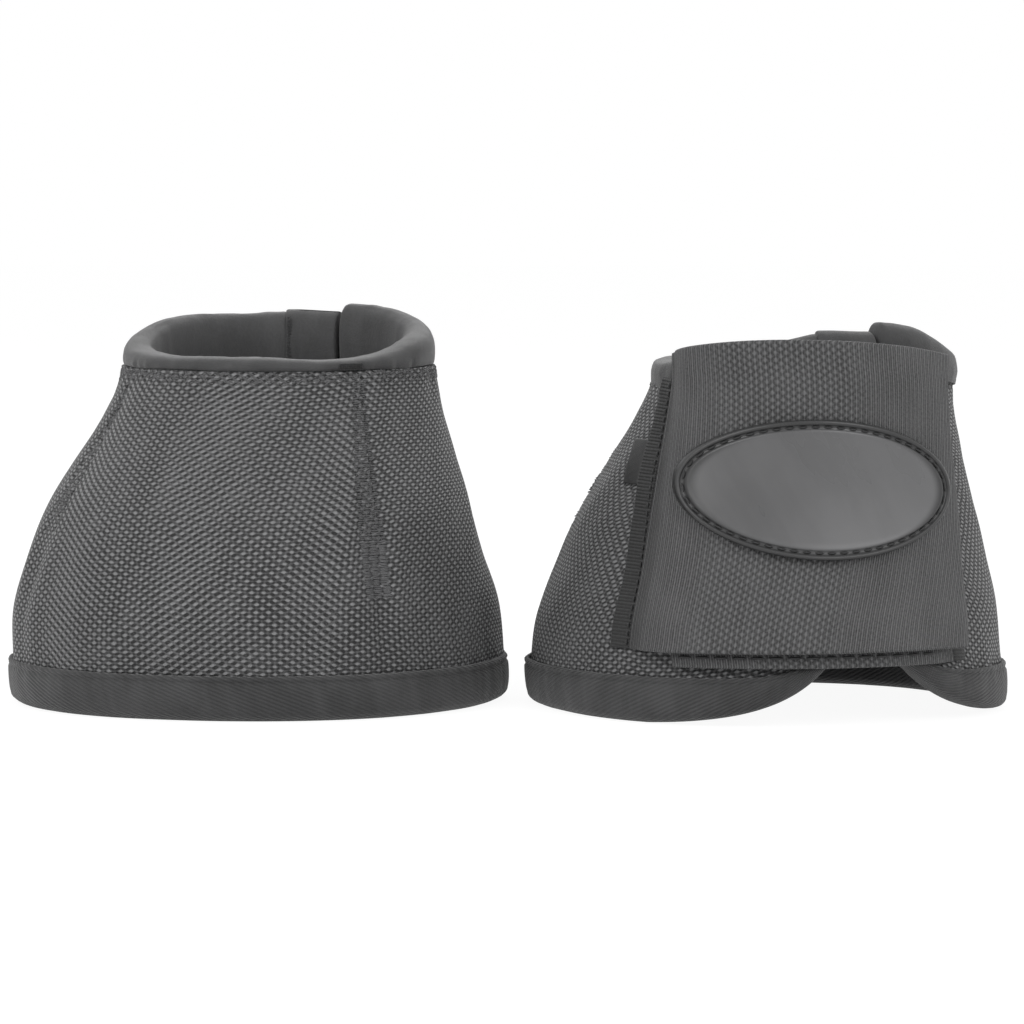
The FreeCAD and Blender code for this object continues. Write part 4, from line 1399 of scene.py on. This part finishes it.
for boot in boots:
    make_wall(boot)
    make_hem_binding(boot)
    make_slit_binding(boot)
    make_collar(boot)
    make_collar_tab(boot)
    make_lip_join(boot)
    make_collar_seam(boot)
    make_darts(boot)
    make_outer_flap(boot)
    make_inner_flap(boot)
    make_badge(boot)
    make_size_label(boot)


# ---------------------------------------------------------------- floor, light and camera

def seen_directly(wires):
    """1 for rays from the camera and for those mirrored or let through on their way, else 0."""
    rays = wires.node("ShaderNodeLightPath").outputs
    seen = wires.math("MAXIMUM", rays["Is Camera Ray"], rays["Is Glossy Ray"])
    return wires.math("MAXIMUM", seen, rays["Is Transmission Ray"])


def make_floor():
    bpy.ops.mesh.primitive_plane_add(size=8.0, location=(0, 0, 0))
    floor = bpy.context.object
    floor.name = "floor"
    material = bpy.data.materials.new("pale floor")
    material.use_nodes = True
    wires = Wiring(material.node_tree)
    wires.tree.nodes.clear()
    matte = wires.node("ShaderNodeBsdfDiffuse", {"Color": (0.8, 0.8, 0.8, 1.0)}).outputs[0]
    glow = wires.node("ShaderNodeEmission", {"Color": (1, 1, 1, 1), "Strength": 1.16}).outputs[0]
    mix = {0: wires.times(seen_directly(wires), 0.8), 1: matte, 2: glow}
    mix = wires.node("ShaderNodeMixShader", mix).outputs[0]
    wires.node("ShaderNodeOutputMaterial", {"Surface": mix})
    floor.data.materials.append(material)


def make_world():
    world = bpy.data.worlds.new("studio")
    bpy.context.scene.world = world
    world.use_nodes = True
    wires = Wiring(world.node_tree)
    wires.tree.nodes.clear()
    inputs = {"Value": seen_directly(wires), "To Min": 0.42, "To Max": 1.0}
    strength = wires.node("ShaderNodeMapRange", inputs).outputs[0]
    back = wires.node("ShaderNodeBackground", {"Color": (1, 1, 1, 1), "Strength": strength})
    wires.node("ShaderNodeOutputWorld", {"Surface": back.outputs[0]})


def add_softbox(name, place, power):
    data = bpy.data.lights.new(name, "AREA")
    data.shape, data.size, data.energy = "SQUARE", lamp_size, power
    lamp = bpy.data.objects.new(name, data)
    bpy.context.collection.objects.link(lamp)
    lamp.location = place
    lamp.rotation_euler = (Vector(lamp_aim) - Vector(place)).to_track_quat("-Z", "Y").to_euler()


def add_camera():
    data = bpy.data.cameras.new("camera")
    data.lens, data.sensor_width = camera_lens, 36.0
    data.clip_end = 20.0
    camera = bpy.data.objects.new("camera", data)
    bpy.context.collection.objects.link(camera)
    aim = Vector(camera_aim)
    away = Vector((0.0, -math.cos(camera_rise), math.sin(camera_rise))) * camera_distance
    camera.location = aim + away
    camera.rotation_euler = (aim - camera.location).to_track_quat("-Z", "Y").to_euler()
    bpy.context.scene.camera = camera


make_floor()
make_world()
add_softbox("key light", (-1.2, -1.2, 1.1), 14.0)
add_softbox("fill light", (1.1, -1.2, 0.9), 9.0)
add_softbox("rear light", (0.2, 1.4, 1.2), 7.0)
add_camera()
bpy.context.scene.view_settings.view_transform = "Standard"
